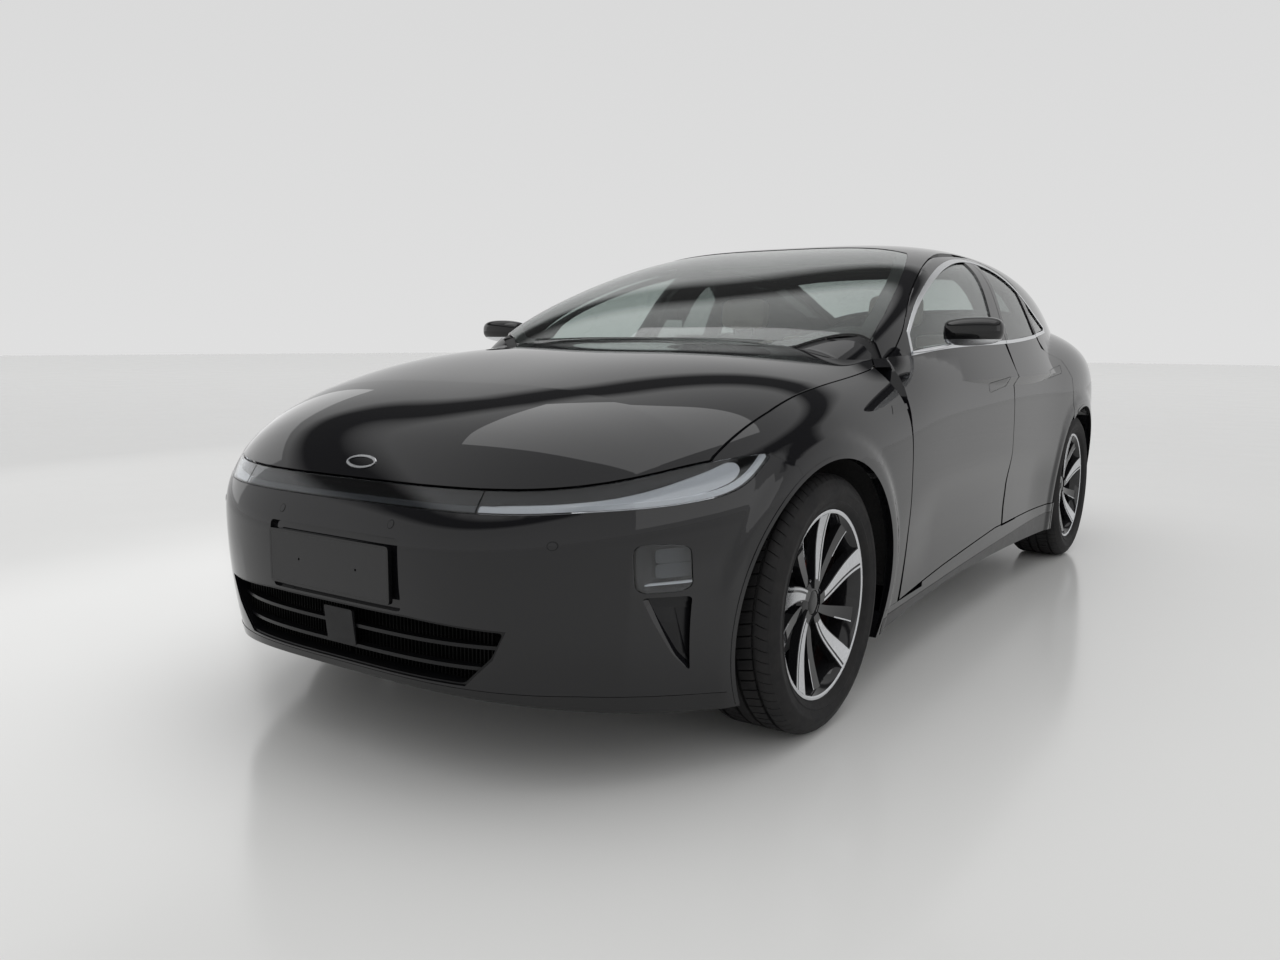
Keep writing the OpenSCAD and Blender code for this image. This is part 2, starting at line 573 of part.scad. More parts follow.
module rear_structure() color([0.12, 0.12, 0.13]) difference() {
    union() {
        both_sides() wheel_liner(rear_axle, arch_radius + 34, 620, side_depth + 1);
        translate([-boot_bar.x, boot_bar.y, boot_bar.z]) cube([2 * boot_bar.x, 20, 20]);
        intersection() {
            union() {
                translate([-800, at(36.6), floor_height - 15]) cube([1600, sheet, 700]);
                translate([-800, at(36.6), belt_height + 10]) cube([1600, at(40.4) - at(36.6), sheet]);
                translate([-620, at(36.6), 440]) cube([1240, at(48.6) - at(36.6), sheet]);
                translate([-560, at(48.9), 420]) cube([1120, 45, 90]);
                both_sides() translate([400, at(45), 400]) cube([70, at(48.95) - at(45), 44]);
            }
            body_solid(side_depth + 1, pillar_depth + 1);
        }
    }
    both_sides() translate([620 + sheet, rear_axle, axle_height]) rotate([0, 90, 0])
        cylinder(r = arch_radius + 34, h = half, $fn = 48);
}

floor_half = half - side_depth - 48;
jack_y = [front_axle + 640, rear_axle - 520];
jack_x = 728;
jack_z = sill_height - 24;
module floor_pan() color([0.1, 0.1, 0.11]) {
    difference() {
        translate([-floor_half, bulkhead_y, floor_height - 15])
            cube([2 * floor_half, rear_axle - 425 - bulkhead_y, 15]);
        both_sides() nose_disc(front_hinge, front_nose + shut_gap, floor_height + 20);
    }
    translate([-650, 0, floor_height - 15]) cube([1300, at(36.6) - seam, 15]);
    both_sides() for (y = jack_y) translate([jack_x, y, jack_z])
        cylinder(r = jack_pad_radius, h = 14);
    both_sides() for (y = jack_y) translate([640, y - 30, jack_z + 4])
        cube([90, 60, floor_height - 15 - jack_z - 4]);
}
module battery_pack() color([0.2, 0.21, 0.22]) translate([-610, at(16.6), sill_height - 20])
    cube([1220, at(34.6) - at(16.6), floor_height - 15 - sill_height + 20]);

// ---- running gear ----

tyre_x = wheel_x;
rim_r = rim_diameter / 2;
tyre_r = tyre_diameter / 2;
hub_x = wheel_x - 40;
shaft_r = 24;
disc_x = wheel_x - 62;
kingpin_foot = [705, front_axle, 195];
kingpin_head = [640, front_axle, 775];

module across(x) translate([x, 0, axle_height]) rotate([0, 90, 0]) children();
module tyre(y) color([0.03, 0.03, 0.03]) translate([0, y, 0]) across(tyre_x) rotate_extrude($fn = 96)
    polygon(concat([[rim_r - 6, -tyre_width / 2 + 22], [rim_r + 10, -tyre_width / 2 + 6],
            [rim_r + 45, -tyre_width / 2], [tyre_r - 32, -tyre_width / 2 + 4], [tyre_r - 10, -tyre_width / 2 + 16],
            [tyre_r, -tyre_width / 2 + 42]],
        [[tyre_r, tyre_width / 2 - 42], [tyre_r - 10, tyre_width / 2 - 16], [tyre_r - 32, tyre_width / 2 - 4],
            [rim_r + 45, tyre_width / 2], [rim_r + 10, tyre_width / 2 - 6], [rim_r - 6, tyre_width / 2 - 22]]));
SPOKES = 5;
module rim(y) color([0.6, 0.6, 0.62]) translate([0, y, 0]) {
    across(tyre_x) rotate_extrude($fn = 96) polygon([[rim_r - 6.5, -tyre_width / 2 + 22],
        [rim_r - 24, -tyre_width / 2 + 22], [rim_r - 36, -60], [rim_r - 36, tyre_width / 2 - 40],
        [rim_r - 16, tyre_width / 2 - 20], [rim_r - 6.5, tyre_width / 2 - 20]]);
    across(hub_x) cylinder(r = 75, h = 40 + tyre_width / 2 - 50);
    for (k = [0:SPOKES - 1]) across(tyre_x + tyre_width / 2 - 62) rotate([0, 0, 90 + k * 360 / SPOKES])
        both_blades() translate([60, -20, 0]) cube([rim_r - 60 - 33, 40, 34]);
    across(disc_x) cylinder(r = disc_diameter / 2, h = 30);
    across(disc_x + 29) cylinder(r = 90, h = 18);
    across(disc_x - 75) cylinder(r = shaft_r, h = 76);
}
module both_blades() for (a = [-17, 17]) rotate([0, 0, a]) children();

// Caliper round the rear of a disc on the left side
module caliper(y, a) color([0.45, 0.1, 0.08]) translate([0, y, 0]) across(disc_x - 26) rotate([0, 0, a]) difference() {
    rotate_extrude(angle = 70, $fn = 96) translate([disc_diameter / 2 - 62, 0]) square([78, 70]);
    translate([0, 0, 21]) cylinder(r = disc_diameter / 2 + 5, h = 40, $fn = 96);
}
module carrier_housing(y) difference() {
    translate([0, y, 0]) {
        across(disc_x - 75) cylinder(r = 55, h = 68);
        translate([disc_x - 75, 0, axle_height - 150]) rotate([0, 0, 0]) translate([0, -30, 0]) cube([48, 60, 110]);
        translate([disc_x - 75, 60, axle_height - 20]) translate([0, -20, 0]) cube([52, 95, 40]);
    }
    translate([0, y, 0]) across(disc_x - 80) cylinder(r = shaft_r + 0.06, h = 90);
}
kingpin_tilt = atan2(kingpin_foot.x - kingpin_head.x, kingpin_head.z - kingpin_foot.z);
module knuckle() color([0.3, 0.3, 0.32]) {
    difference() {
        union() {
            carrier_housing(front_axle);
            translate([kingpin_foot.x - 37, front_axle - 24, kingpin_foot.z + 15]) cube([68, 48, 90]);
            translate(kingpin_foot) rotate([0, -kingpin_tilt, 0]) cylinder(r = 16, h = 105);
            translate(kingpin_head) rotate([0, 180 - kingpin_tilt, 0]) cylinder(r = 26, h = 385);
            translate([kingpin_head.x + 20, front_axle - 24, axle_height + 20]) cube([60, 48, 130]);
        }
        translate([0, front_axle, 0]) across(disc_x - 80) cylinder(r = shaft_r + 0.06, h = 200);
        translate([0, front_axle, 0]) across(disc_x - 5) cylinder(r = disc_diameter / 2 + 5, h = 90);
    }
    caliper(front_axle, 55);
}

module front_axle_parts() color([0.15, 0.15, 0.16]) {
    translate([-380, front_axle - 210, 235]) cube([760, 70, 60]);
    translate([-380, front_axle + 150, 235]) cube([760, 70, 60]);
    both_sides() {
        translate([310, front_axle - 210, 235]) cube([70, 430, 60]);
        for (y = [-195, 195]) translate([340, front_axle + y - 15, 285]) cube([90, 30, 115]);
        difference() {
            union() {
                translate([370, front_axle - 35, 175]) cube([280, 70, 45]);
                translate([370, front_axle - 35, 175]) cube([60, 70, 62]);
                translate([kingpin_foot.x, front_axle, 160]) cylinder(r = 30, h = 28);
                translate([kingpin_foot.x - 60, front_axle - 35, 160]) cube([60, 70, 28]);
            }
        }
        translate([200, front_axle + 100, 296]) rotate([0, 90, 0]) cylinder(r = 13, h = 370);
    }
    translate([-330, front_axle + 100, 300]) rotate([0, 90, 0]) cylinder(r = 34, h = 660);
}
module rear_axle_parts() color([0.15, 0.15, 0.16]) {
    translate([-420, rear_axle - 200, 235]) cube([840, 60, 60]);
    translate([-420, rear_axle + 190, 235]) cube([840, 60, 60]);
    both_sides() {
        translate([350, rear_axle - 200, 235]) cube([70, 450, 60]);
        carrier_housing(rear_axle);
        translate([400, rear_axle - 30, 205]) cube([disc_x - 75 - 400, 60, 40]);
        translate([500, rear_axle + 40, 250]) cylinder(r = 50, h = 190);
        translate([500, rear_axle - 30, 240]) cube([60, 90, 15]);
        caliper(rear_axle, 55);
        translate([disc_x - 75, rear_axle + 40, axle_height - 20]) cube([52, 110, 40]);
    }
}
module drive_units() color([0.35, 0.36, 0.38]) {
    translate([-260, front_axle - 165, 295.3]) cube([520, 220, 264]);
    translate([-300, rear_axle - 160, 295.3]) cube([600, 370, 136]);
}

// ---- cabin ----

seat_x = 370;
seat_y = at(24.6);
cushion_top = 560;
module front_seat() {
    hull() {
        translate([seat_x - seat_width / 2 + 40, seat_y - 230, cushion_top - 130]) cylinder(r = 40, h = 90, $fn = 24);
        translate([seat_x + seat_width / 2 - 40, seat_y - 230, cushion_top - 130]) cylinder(r = 40, h = 90, $fn = 24);
        translate([seat_x - seat_width / 2 + 40, seat_y + 240, cushion_top - 160]) cylinder(r = 40, h = 90, $fn = 24);
        translate([seat_x + seat_width / 2 - 40, seat_y + 240, cushion_top - 160]) cylinder(r = 40, h = 90, $fn = 24);
    }
    hull() for (x = [-1, 1]) {
        translate([seat_x + x * (seat_width / 2 - 50), seat_y + 250, cushion_top - 100]) sphere(r = 50, $fn = 24);
        translate([seat_x + x * (seat_width / 2 - 75), seat_y + 420, cushion_top + 480]) sphere(r = 50, $fn = 24);
    }
    hull() for (x = [-1, 1]) {
        translate([seat_x + x * 90, seat_y + 440, cushion_top + 590]) sphere(r = 45, $fn = 24);
        translate([seat_x + x * 80, seat_y + 450, cushion_top + 680]) sphere(r = 35, $fn = 24);
    }
    translate([seat_x - 200, seat_y - 180, floor_height]) cube([400, 380, cushion_top - 160 - floor_height + 2]);
    for (x = [-50, 50]) translate([seat_x + x, seat_y + 425, cushion_top + 500]) cylinder(r = 7, h = 70);
}
module front_seats() color([0.72, 0.68, 0.62]) both_sides() front_seat();
// Side view of the rear bench: cushion and backrest
BENCH = [[at(30.6), 400], [at(30.4), 480], [at(30.8), 530], [at(34.2), 505], [at(35), 1000], [at(35.2), 1015],
    [at(35.9), 1010], [at(36.1), 990], [at(35.4), 420], [at(34.6), 400]];
module rear_seat() color([0.72, 0.68, 0.62]) {
    translate([-610, 0, 0]) rotate([90, 0, 90]) linear_extrude(1220) polygon(BENCH);
    for (x = [-360, 360]) translate([x - 130, at(35.3), 1006]) cube([260, 65, 90]);
    translate([-560, at(31.3), floor_height]) cube([1120, at(34.6) - at(31.3), 140]);
}
column_x = seat_x;
column_tilt = 26;
column_centre = [column_x, at(22.4), 870];
module dashboard() color([0.2, 0.19, 0.18]) {
    difference() {
        hull() {
            translate([-640, bulkhead_y + 20, 880]) cube([1280, 40, 60]);
            translate([-640, at(18.4), 900]) cube([1280, 120, 40]);
            translate([-640, at(18.6), 700]) cube([1280, 60, 60]);
            translate([-640, bulkhead_y + 20, 640]) cube([1280, 60, 60]);
        }
    }
    translate([-110, at(18), floor_height]) cube([220, at(28.2) - at(18), 60]);
    translate([-110, at(20.5), floor_height]) cube([220, at(28.2) - at(20.5), 300]);
    translate([-110, at(18), floor_height]) cube([220, 100, 440]);
    translate([-180, at(19.4), 930]) rotate([-12, 0, 0]) cube([360, 18, 150]);
    translate(column_centre) rotate([90 + column_tilt, 0, 0]) translate([0, 0, 45.3]) cylinder(r = 32, h = 330);
}
module steering_wheel() color([0.08, 0.08, 0.08]) translate(column_centre) rotate([90 + column_tilt, 0, 0]) {
    rotate_extrude($fn = 64) translate([steering_wheel_diameter / 2 - 16, 0]) circle(r = 16, $fn = 24);
    cylinder(r = 62, h = 45);
    for (a = [0, 180, 270]) rotate([0, 0, a]) translate([50, -18, 8]) cube([steering_wheel_diameter / 2 - 62, 36, 14]);
}

// ---- plates and towing eyes ----

module number_plate(y, z) difference() {
    translate([-plate_size.x / 2, y - 6, z - plate_size.y / 2]) cube([plate_size.x, 12, plate_size.y]);
    for (x = [-1, 1]) translate([x * plate_hole_spacing / 2, y + 20, z]) rotate([90, 0, 0])
        cylinder(r = plate_hole_radius, h = 40);
}
module number_plates() color([0.06, 0.06, 0.065]) {
    number_plate(nose - 5.3, plate_z);
    number_plate(tail + 4.2, rear_plate_z);
}

module right() mirror([1, 0, 0]) children();
bumper_front();  // front_bumper
headlamps();
number_plates();
bonnet();
wings();  // front_wings
body_sides();
roof_panel();
fixed_glass();
boot_lid();
tail_lamp();
bumper_rear();  // rear_bumper
front_door();  // door_front_left
right() front_door();  // door_front_right
rear_door();  // door_rear_left
right() rear_door();  // door_rear_right
side_glass(FRONT_WINDOW);  // glass_front_left
right() side_glass(FRONT_WINDOW);  // glass_front_right
side_glass(REAR_WINDOW);  // glass_rear_left
right() side_glass(REAR_WINDOW);  // glass_rear_right
door_mirror();  // mirror_left
right() door_mirror();  // mirror_right
front_structure();
rear_structure();
floor_pan();
battery_pack();
front_axle_parts();  // front_axle_frame
rear_axle_parts();  // rear_axle_frame
drive_units();
knuckle();  // knuckle_left
right() knuckle();  // knuckle_right
tyre(front_axle);  // tyre_front_left
right() tyre(front_axle);  // tyre_front_right
tyre(rear_axle);  // tyre_rear_left
right() tyre(rear_axle);  // tyre_rear_right
rim(front_axle);  // rim_front_left
right() rim(front_axle);  // rim_front_right
rim(rear_axle);  // rim_rear_left
right() rim(rear_axle);  // rim_rear_right
front_seats();
rear_seat();
dashboard();
steering_wheel();
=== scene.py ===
"""Looks of a four-door fastback saloon car: skins, glass, lamps, wheels, trim and cabin."""
import json
import math

import bmesh
import bpy
import numpy as np
from mathutils import Matrix, Vector

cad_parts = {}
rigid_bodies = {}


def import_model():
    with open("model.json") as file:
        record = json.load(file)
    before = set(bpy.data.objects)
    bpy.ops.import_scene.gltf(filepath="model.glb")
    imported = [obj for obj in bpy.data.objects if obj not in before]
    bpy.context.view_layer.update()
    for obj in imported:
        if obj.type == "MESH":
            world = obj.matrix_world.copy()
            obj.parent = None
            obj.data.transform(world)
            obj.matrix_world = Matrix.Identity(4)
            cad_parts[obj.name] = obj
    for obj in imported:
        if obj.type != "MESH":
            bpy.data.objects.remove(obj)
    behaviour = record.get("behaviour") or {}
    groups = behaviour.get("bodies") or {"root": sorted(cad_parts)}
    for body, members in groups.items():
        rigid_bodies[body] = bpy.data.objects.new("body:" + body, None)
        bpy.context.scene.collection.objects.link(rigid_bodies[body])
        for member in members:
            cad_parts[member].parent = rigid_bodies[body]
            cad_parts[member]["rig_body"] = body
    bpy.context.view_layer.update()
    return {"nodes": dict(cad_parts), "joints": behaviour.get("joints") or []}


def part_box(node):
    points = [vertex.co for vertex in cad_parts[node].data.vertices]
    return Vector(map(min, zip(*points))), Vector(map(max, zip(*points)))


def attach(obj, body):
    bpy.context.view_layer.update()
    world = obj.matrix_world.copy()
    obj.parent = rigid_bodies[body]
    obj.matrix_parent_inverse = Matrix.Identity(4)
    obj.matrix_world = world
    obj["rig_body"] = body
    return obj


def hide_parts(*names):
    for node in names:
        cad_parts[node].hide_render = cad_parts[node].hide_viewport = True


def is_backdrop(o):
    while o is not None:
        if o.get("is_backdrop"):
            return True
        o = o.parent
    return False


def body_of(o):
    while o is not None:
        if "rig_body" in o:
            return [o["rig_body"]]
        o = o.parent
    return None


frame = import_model()

bl_info = {
    "name": "Fastback saloon car",
    "version": (1, 0, 0),
    "blender": (4, 5, 0),
    "location": "3D View > Sidebar > Saloon",
    "description": "Builds the skins, glass, lamps, wheels and cabin of a saloon car round its frame",
    "category": "Object",
}

MM = 0.001
# Thickness of a door and of its window frame, of the lids, and of the fixed panels
DOOR_DEPTH, FRAME_DEPTH = 0.110, 0.028
LID_DEPTH, PANEL_DEPTH = 0.024, 0.030
SEAM = 0.0005


def middle(node):
    low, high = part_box(node)
    return (low + high) / 2


FRONT_WHEEL = middle("tyre_front_left")
REAR_WHEEL = middle("tyre_rear_left")
FRONT_AXLE, REAR_AXLE, AXLE_Z, WHEEL_X = FRONT_WHEEL.y, REAR_WHEEL.y, FRONT_WHEEL.z, FRONT_WHEEL.x
NOSE = FRONT_AXLE - 0.9
TAIL = REAR_AXLE + 1.065
HALF = 0.9475
ROOF_Z, BELT_Z, COWL_Z, SILL_Z = 1.472, 1.050, 1.055, 0.190
TYRE_R = (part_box("tyre_front_left")[1].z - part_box("tyre_front_left")[0].z) / 2
TYRE_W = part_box("tyre_front_left")[1].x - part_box("tyre_front_left")[0].x
RIM_R = 0.264
ARCH_R = 0.396


# ---- sizes and colours a user would change ----

def length(name, default, text):
    return bpy.props.FloatProperty(name=name, description=text, default=default, unit="LENGTH")


def colour(name, default, text):
    return bpy.props.FloatVectorProperty(name=name, description=text, default=default, subtype="COLOR",
                                         min=0, max=1)


class SaloonPanels(bpy.types.PropertyGroup):
    paint: colour("Paint", (0.006, 0.006, 0.007), "Colour of the body paint")
    gap: length("Shut gap", 0.005, "Gap round everything that opens")
    flare: length("Arch flare", 0.008, "How far the wheel arches' lips stand out")
    scoop: length("Door scoop", 0.016, "How far the doors fall in below their crease")


class SaloonGlass(bpy.types.PropertyGroup):
    tint: colour("Tint", (0.045, 0.065, 0.058), "Colour of the window glass")
    depth: length("Thickness", 0.005, "Thickness of the glass")
    trim: length("Trim width", 0.013, "Width of the bright strip round the side windows")


class SaloonWheels(bpy.types.PropertyGroup):
    alloy: colour("Alloy", (0.66, 0.67, 0.69), "Colour of the machined faces")
    groups: bpy.props.IntProperty(name="Blade groups", description="Pairs of blades round a wheel",
                                  default=5,
                                  min=3, max=9)
    sipes: bpy.props.IntProperty(name="Tread blocks", description="Blocks round a tyre's shoulder",
                                 default=72, min=30, max=120)


class SaloonCabin(bpy.types.PropertyGroup):
    leather: colour("Leather", (0.50, 0.45, 0.38), "Colour of the seats")
    plastic: colour("Dashboard", (0.09, 0.085, 0.08), "Colour of the dashboard")


# ---- fair curves and the body's surface ----

def at(s):
    """Length along the car of a station: 0 nose, 10 front axle, 40 rear axle, 50 tail."""
    return np.interp(s, [-10, 0, 10, 40, 50, 60],
                     [NOSE - 0.9, NOSE, FRONT_AXLE, REAR_AXLE, TAIL, TAIL + 1.065])


def y_at(s):
    return float(at(s))


class Curve:
    """Cubic spline with free ends through [station, millimetres] knots, held flat beyond them."""

    def __init__(self, knots):
        self.y = np.array([at(k[0]) for k in knots])
        self.v = np.array([k[1] * MM for k in knots])
        n, h, g = len(self.y), np.diff(self.y), np.diff(self.v) / np.diff(self.y)
        a = np.eye(n)
        b = np.zeros(n)
        for i in range(1, n - 1):
            a[i, i - 1:i + 2] = h[i - 1], 2 * (h[i - 1] + h[i]), h[i]
            b[i] = 6 * (g[i] - g[i - 1])
        self.m = np.linalg.solve(a, b)

    def __call__(self, y):
        t = np.clip(y, self.y[0], self.y[-1])
        i = np.clip(np.searchsorted(self.y, t) - 1, 0, len(self.y) - 2)
        h = self.y[i + 1] - self.y[i]
        a = (self.y[i + 1] - t) / h
        b = 1 - a
        return (a * self.v[i] + b * self.v[i + 1]
                + ((a ** 3 - a) * self.m[i] + (b ** 3 - b) * self.m[i + 1]) * h * h / 6)


H, B, C, R, S = HALF / MM, BELT_Z / MM, COWL_Z / MM, ROOF_Z / MM, SILL_Z / MM
WIDTH = Curve([[0, H - 80], [10, H - 7], [20, H - 17], [29, H - 25], [35.5, H - 15], [40.7, H],
               [45.4, H - 60], [50, H - 125]])
CROWN = Curve([[0, 700], [2.7, 858], [6, 955], [10.4, C - 35], [15, C + 10], [17.6, B + 74],
               [22.8, B + 125], [28.9, B + 155], [35.1, B + 146], [40.7, B + 130], [45.4, B + 78],
               [48.7, B + 20], [50, B - 20]])
WAIST = Curve([[0, 560], [10, 600], [25.8, 620], [40, 660], [50, 660]])
HEM = Curve([[0, 235], [5.6, S - 30], [15.6, S], [34, S], [45, S + 10], [50, S + 70]])
FULL_X = Curve([[0, 3000], [10.4, 3300], [17.6, 3300], [50, 3200]])
FULL_Z = Curve([[0, 2600], [6, 2800], [10.4, 3500], [15.6, 4000], [50, 4000]])
BASE_Z = BELT_Z - 0.130
GLASS_WIDTH = Curve([[12.5, H - 66], [17.6, H - 58], [22.8, H - 33], [28.9, H - 16], [35.1, H - 30],
                     [40.8, H - 88], [45.4, H - 125], [48.5, H - 187]])
GLASS_TOP = Curve([[12.9, B - 130], [14.5, C - 15], [19.7, C + 238], [23.8, R - 62], [28.9, R - 2],
                   [34.1, R - 10], [38.2, R - 66], [42.1, R - 172], [45.4, R - 290], [48.5, R - 410]])
BELT = Curve([[16.9, B - 54], [19.3, B - 30], [28.6, B + 3], [35, B + 40], [38, B + 62]])
GLASS_LINE = Curve([[18.1, B - 7], [19.3, B + 77], [21.2, B + 168], [23.9, R - 166], [25.9, R - 122],
                    [28.9, R - 92], [31.7, R - 132], [33.4, R - 205], [35.5, R - 318], [36.4, R - 352]])
LAMP_TOP = Curve([[-1, 703], [1, 709], [1.9, 719], [3.6, 745], [4.9, 765], [6.5, 778], [7.2, 780]])
LAMP_FOOT = Curve([[-1, 661], [1, 663], [1.9, 670], [3.3, 676], [4.5, 684], [5.9, 711], [7.1, 774]])
CREASE = Curve([[14, 560], [18, 600], [30, 610], [36, 560]])
LEAN = 0.42
DOOR_FRONT, DOOR_MID, DOOR_TAIL = at(15.64), at(28.1), at(37.9)
DOOR_FOOT = SILL_Z + 0.065


def taper(d, sweep, q, p):
    return (1 - np.clip(1 - d / sweep, 0, 1) ** q) ** (1 / p)


def half_width(y, i):
    return WIDTH(y) * np.minimum(taper(y - NOSE - i, 0.99, 2.2, 3.6),
                                 taper(TAIL - i - y, 0.84, 2.4, 4.2)) - i


def crown(y, i):
    w = WAIST(y)
    roll = np.minimum(taper(y - NOSE - i, 0.24, 2.2, 2.2), taper(TAIL - i - y, 0.12, 2.2, 2.2))
    return w + (CROWN(y) - w) * roll - i


def smooth(t):
    t = np.clip(t, 0, 1)
    return t * t * (3 - 2 * t)


def relief(y, z):
    """How far the sides stand out beyond the plain section: flared arches and the doors' fall."""
    p = bpy.context.scene.saloon_panels
    out = 0
    for axle in (FRONT_AXLE, REAR_AXLE):
        r = np.hypot(y - axle, z - AXLE_Z)
        out = out + p.flare * (1 - smooth((r - ARCH_R - 0.042) / 0.030))
    along = smooth((y - at(14.2)) / 0.45) * smooth((at(36.6) - y) / 0.45)
    drop = CREASE(y) - z
    fall = smooth((drop + 0.015) / 0.16) * (1 - smooth((drop - 0.2) / 0.2))
    return out - p.scoop * along * fall


def eased(n):
    """n + 1 steps from 0 to 1, closest together at both ends."""
    return (1 - np.cos(np.pi * np.arange(n + 1) / n)) / 2


def flank(y, i):
    """Right half of the lower body's section at y, from the hem to the centre line, sunk by i."""
    w, hw, c = WAIST(y), max(0.002, half_width(y, i)), crown(y, i)
    h = HEM(y) - (0.08 if i > 0.0145 else 0)
    s = np.linspace(1, 0, 25)[:-1]
    a = np.pi / 2 * eased(44)
    x = np.concatenate([hw * (1 - 0.04 * s ** 2.2),
                        hw * np.clip(np.cos(a), 0, 1) ** (2 / (FULL_X(y) / 1))])
    z = np.concatenate([w + (h - w) * s, w + (c - w) * np.sin(a) ** (2 / FULL_Z(y))])
    yy = np.concatenate([y / (1 + 0.012 * s * s), np.full(len(a), y)])
    x[-1] = 0
    bulge = relief(yy, z) * np.clip(hw / 0.6, 0, 1) * smooth((x - 0.55) / 0.25)
    return np.stack([np.where(x > 0.3, x + bulge, x), yy, z], 1)


def glass_half(y, i):
    front, rear = at(12.5), at(48.5)
    return (GLASS_WIDTH(y) * taper(y - front - i, at(28) - front, 4.5, 5)
            * taper(rear - i - y, rear - at(36.2), 2.4, 3) - i)


def glass_flank(y, i):
    t, w = GLASS_TOP(y) - i - BASE_Z, glass_half(y, i)
    a = np.pi / 2 * eased(44)
    s = t * np.sin(a) ** 0.25
    x = (w - LEAN * s) * np.clip(np.cos(a), 0, 1) ** (2 / 3.4)
    x[-1] = 0
    pts = np.stack([x, np.full(len(a), y), BASE_Z + s], 1)
    return np.vstack([[w - 0.055, y, BASE_Z - 0.11], pts])


def ring(half):
    return np.vstack([half, half[-2::-1] * [-1, 1, 1]])


# ---- meshes ----

def mesh_object(name, verts, faces):
    me = bpy.data.meshes.new(name)
    me.from_pydata([tuple(map(float, v)) for v in verts], [], [tuple(f) for f in faces])
    me.validate()
    me.update()
    o = bpy.data.objects.new(name, me)
    bpy.context.scene.collection.objects.link(o)
    return o


def outward(o):
    bm = bmesh.new()
    bm.from_mesh(o.data)
    bmesh.ops.remove_doubles(bm, verts=bm.verts, dist=1e-6)
    bmesh.ops.recalc_face_normals(bm, faces=bm.faces)
    bm.to_mesh(o.data)
    bm.free()
    return o


def loft(name, rings):
    """Closed skin through rings of points."""
    n = len(rings[0])
    faces = [(i * n + j, i * n + (j + 1) % n, (i + 1) * n + (j + 1) % n, (i + 1) * n + j)
             for i in range(len(rings) - 1) for j in range(n)]
    m, last = (n + 1) // 2, (len(rings) - 1) * n
    for start in (0, last):
        faces += [(start + j, start + j + 1, start + n - 2 - j, start + n - 1 - j) for j in range(m - 2)]
        faces.append((start + m - 2, start + m - 1, start + m))
    return outward(mesh_object(name, np.vstack(rings), faces))


def revolve(name, profile, centre, steps=96, axis="X", start=0.0, turn=2 * math.pi):
    """Surface of (radius, along) points turned about an axis through centre."""
    n, whole = len(profile), turn > 6.28
    rows = steps if whole else steps + 1
    verts, faces = [], []
    for i in range(rows):
        a = start + turn * i / steps
        for r, d in profile:
            p = {"X": (d, r * math.sin(a), r * math.cos(a)), "Y": (r * math.cos(a), d, r * math.sin(a)),
                 "Z": (r * math.cos(a), r * math.sin(a), d)}[axis]
            verts.append(Vector(p) + Vector(centre))
    for i in range(steps):
        k = (i + 1) % rows if whole else i + 1
        faces += [(i * n + j, i * n + (j + 1) % n, k * n + (j + 1) % n, k * n + j) for j in range(n)]
    if not whole:
        faces += [tuple(range(n)), tuple(range(steps * n + n - 1, steps * n - 1, -1))]
    return outward(mesh_object(name, verts, faces))


def prism(name, outline, low, high, plane):
    """Outline drawn out from low to high across its plane: 'side' (y, z), 'plan' (x, y), 'front' (x, z)."""
    place = {"side": lambda p, d: (d, p[0], p[1]), "plan": lambda p, d: (p[0], p[1], d),
             "front": lambda p, d: (p[0], d, p[1])}[plane]
    n = len(outline)
    verts = [place(p, low) for p in outline] + [place(p, high) for p in outline]
    faces = [tuple(range(n)), tuple(range(2 * n - 1, n - 1, -1))]
    faces += [(j, n + j, n + (j + 1) % n, (j + 1) % n) for j in range(n)]
    return outward(mesh_object(name, verts, faces))


def box(name, low, high):
    return prism(name, [(low[0], low[1]), (high[0], low[1]), (high[0], high[1]), (low[0], high[1])],
                 low[2], high[2], "plan")


def rounded(points, r, n=5):
    """Outline whose corners are arcs of about radius r; a point may give its own radius third."""
    out, m = [], len(points)
    for k in range(m):
        p = np.array(points[k][:2], float)
        a, b = np.array(points[k - 1][:2], float), np.array(points[(k + 1) % m][:2], float)
        rr = points[k][2] if len(points[k]) > 2 else r
        la, lb = np.linalg.norm(a - p), np.linalg.norm(b - p)
        d = min(rr, la * 0.45, lb * 0.45)
        if d < 1e-5:
            out.append(tuple(p))
            continue
        s, e = p + (a - p) / la * d, p + (b - p) / lb * d
        out += [tuple((1 - t) ** 2 * s + 2 * t * (1 - t) * p + t * t * e) for t in np.linspace(0, 1, n)]
    return out


def grown(outline, d):
    """Outline moved outwards by d."""
    p = np.array([q[:2] for q in outline], float)
    area = np.sum(p[:, 0] * np.roll(p[:, 1], -1) - np.roll(p[:, 0], -1) * p[:, 1])
    t = np.roll(p, -1, 0) - p
    nrm = np.stack([t[:, 1], -t[:, 0]], 1) / np.maximum(np.linalg.norm(t, axis=1), 1e-9)[:, None]
    nrm *= np.sign(area)
    both = nrm + np.roll(nrm, 1, 0)
    scale = np.maximum(np.sum(both * both, 1) / 2, 0.3)
    return [tuple(q) for q in p + both / scale[:, None] * d]


def copy_of(o, name=None):
    c = o.copy()
    c.data = o.data.copy()
    if name:
        c.name = name
    bpy.context.scene.collection.objects.link(c)
    return c


def mirror_copy(o, name):
    c = copy_of(o, name)
    c.data.transform(Matrix.Scale(-1, 4, (1, 0, 0)))
    c.data.flip_normals()
    return c


def carved(name, base, keep=(), cut=()):
    """Copy of base that stays inside every solid of keep and outside every solid of cut."""
    o = copy_of(base, name)
    for how, tools in (("INTERSECT", keep), ("DIFFERENCE", cut)):
        for tool in tools:
            m = o.modifiers.new("carve", "BOOLEAN")
            m.operation, m.object, m.solver = how, tool, "MANIFOLD"
    return flattened(o)


